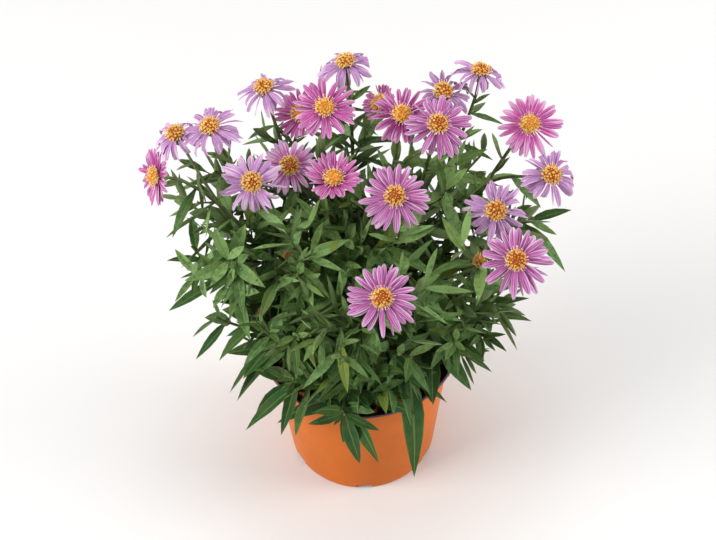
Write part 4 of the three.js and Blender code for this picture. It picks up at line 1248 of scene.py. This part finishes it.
class ASTER_OT_soil(bpy.types.Operator):
    """Fills the pot with potting mix: a lumpy plug covered with loose crumbs and bark"""

    bl_idname = "aster.soil"
    bl_label = "Potting mix"

    def execute(self, context):
        sizes, colours = context.scene.aster_sizes, context.scene.aster_colours
        heap = Gathering()
        plug = self.plug_blank()
        heap.add(plug.points, plug, 0, 0.55)
        deselect()
        bpy.ops.mesh.primitive_ico_sphere_add(subdivisions=1, radius=1)
        crumb = take(bpy.context.object)
        for i in range(sizes.crumb_count):
            self.drop_crumb(heap, crumb, i)
        dress(heap.piece("potting_mix", [potting_mix(colours)]), "soil", "soil")
        return {"FINISHED"}

    def plug_blank(self):
        slope = (POT_SHOULDER - POT_FOOT) / (POT_HEIGHT - POT_LIP_HEIGHT - 1 - POT_FLOOR)
        wall = [(POT_FOOT - POT_WALL + (z - POT_FLOOR) * slope - 2 * GAP, z)
                for z in (POT_FLOOR + GAP, SOIL_TOP / 2, SOIL_TOP - 1)]
        top = [(radius, SOIL_TOP) for radius in (54, 48, 42, 36, 30, 24, 18, 12, 6, 2)]
        plug = take(turned(wall + top, 72))
        points = plug.points
        x, y, z = points.T
        is_top = z > SOIL_TOP - 0.5
        ripple = 0.9 * np.sin(0.9 * x + 1.7) * np.sin(0.8 * y + 0.4)
        ripple += 0.6 * np.sin(1.9 * x + y) * np.sin(1.7 * y)
        points[:, 2] = np.where(is_top, soil_height(x, y) + ripple, z)
        return plug

    def drop_crumb(self, heap, crumb, i):
        draw = partial(chance, i)
        reach, angle, bank = CRUMB_REACH * math.sqrt(draw(51)), 360 * draw(52), 0
        if i % 3 == 0:
            reach, angle = mix(*BANK_REACH, math.sqrt(draw(51))), mix(*BANK_ANGLES, draw(52))
            bank = SOIL_BANK * math.sqrt(draw(60)) * np.clip((reach - BANK_REACH[0]) / BANK_WIDTH, 0, 1)
        place = compass(angle) * reach
        is_bark = draw(53) > 0.6
        size = np.array((mix(0.8, 2.2, draw(54)), mix(0.8, 1.8, draw(55)), mix(0.6, 1.4, draw(56))))
        if is_bark:
            size = np.array((mix(1.6, 4.2, draw(54)), mix(1, 2.2, draw(55)), mix(0.4, 0.9, draw(56))))
        jitter = np.array([[chance(i, j, k) - 0.5 for k in range(3)] for j in range(len(crumb.points))])
        axis = unit(compass(360 * draw(57)) + 0.4 * UP)
        stand = np.array(Matrix.Rotation(2 * math.pi * draw(58), 3, Vector(axis)))
        height = soil_height(place[0], place[1]) + 0.5 * size[2] + bank
        points = (crumb.points + 0.55 * jitter) * size @ stand.T + place + UP * height
        heap.add(points, crumb, 0, mix(0.9, 1.5, draw(59)) if is_bark else mix(0.2, 0.8, draw(59)))


class ASTER_OT_stage(bpy.types.Operator):
    """Sets the pale floor, the soft studio lights and the camera at the photograph's angle"""

    bl_idname = "aster.stage"
    bl_label = "Stage"

    def execute(self, context):
        scene = context.scene
        camera_data = bpy.data.cameras.new("camera")
        camera_data.sensor_width = FILM_WIDTH
        camera_data.lens = FILM_WIDTH * LENS_PIXELS / PHOTO_WIDTH
        camera = bpy.data.objects.new("camera", camera_data)
        camera.location = [length * MM for length in CAMERA_AT]
        down = Matrix.Rotation(math.radians(90 - CAMERA_DOWN), 3, "X")
        roll = Matrix.Rotation(math.radians(CAMERA_ROLL), 3, "Z")
        camera.rotation_euler = (down @ roll).to_euler()
        scene.collection.objects.link(camera)
        scene.camera = camera
        deselect()
        bpy.ops.mesh.primitive_plane_add(size=6)
        floor = context.object
        floor.name = "floor"
        floor.data.materials.append(pale_floor())
        for name, place, size, power in LIGHTS:
            data = bpy.data.lights.new(name, "AREA")
            data.energy, data.size = power, size
            light = bpy.data.objects.new(name, data)
            light.location = place
            light.rotation_euler = (Vector(LIT_PLACE) - Vector(place)).to_track_quat("-Z", "Y").to_euler()
            scene.collection.objects.link(light)
        world = bpy.data.worlds.new("studio")
        world.use_nodes = True
        world.node_tree.nodes["Background"].inputs["Color"].default_value = (1, 1, 1, 1)
        world.node_tree.nodes["Background"].inputs["Strength"].default_value = 0.4
        scene.world = world
        scene.view_settings.view_transform = "Standard"
        return {"FINISHED"}


class ASTER_PT_panel(bpy.types.Panel):
    """Lists the potted aster's pieces, sizes and colours"""

    bl_label = "Potted aster"
    bl_idname = "ASTER_PT_panel"
    bl_space_type = "VIEW_3D"
    bl_region_type = "UI"
    bl_category = "Aster"

    def draw(self, context):
        for operator in OPERATORS:
            self.layout.operator(operator.bl_idname)
        for group in (context.scene.aster_sizes, context.scene.aster_colours):
            for name in group.bl_rna.properties.keys():
                if name not in ("rna_type", "name"):
                    self.layout.prop(group, name)


OPERATORS = (
    ASTER_OT_stage, ASTER_OT_pot, ASTER_OT_soil, ASTER_OT_leafy_stems, ASTER_OT_rays, ASTER_OT_discs)
CLASSES = (AsterColours, AsterSizes, *OPERATORS, ASTER_PT_panel)


def register():
    for each in CLASSES:
        bpy.utils.register_class(each)
    bpy.types.Scene.aster_colours = bpy.props.PointerProperty(type=AsterColours)
    bpy.types.Scene.aster_sizes = bpy.props.PointerProperty(type=AsterSizes)


def unregister():
    del bpy.types.Scene.aster_sizes
    del bpy.types.Scene.aster_colours
    for each in reversed(CLASSES):
        bpy.utils.unregister_class(each)


def main():
    register()
    bpy.ops.aster.stage()
    bpy.ops.aster.pot()
    bpy.ops.aster.soil()
    bpy.ops.aster.leafy_stems()
    bpy.ops.aster.rays()
    bpy.ops.aster.discs()


if __name__ == "__main__":
    main()
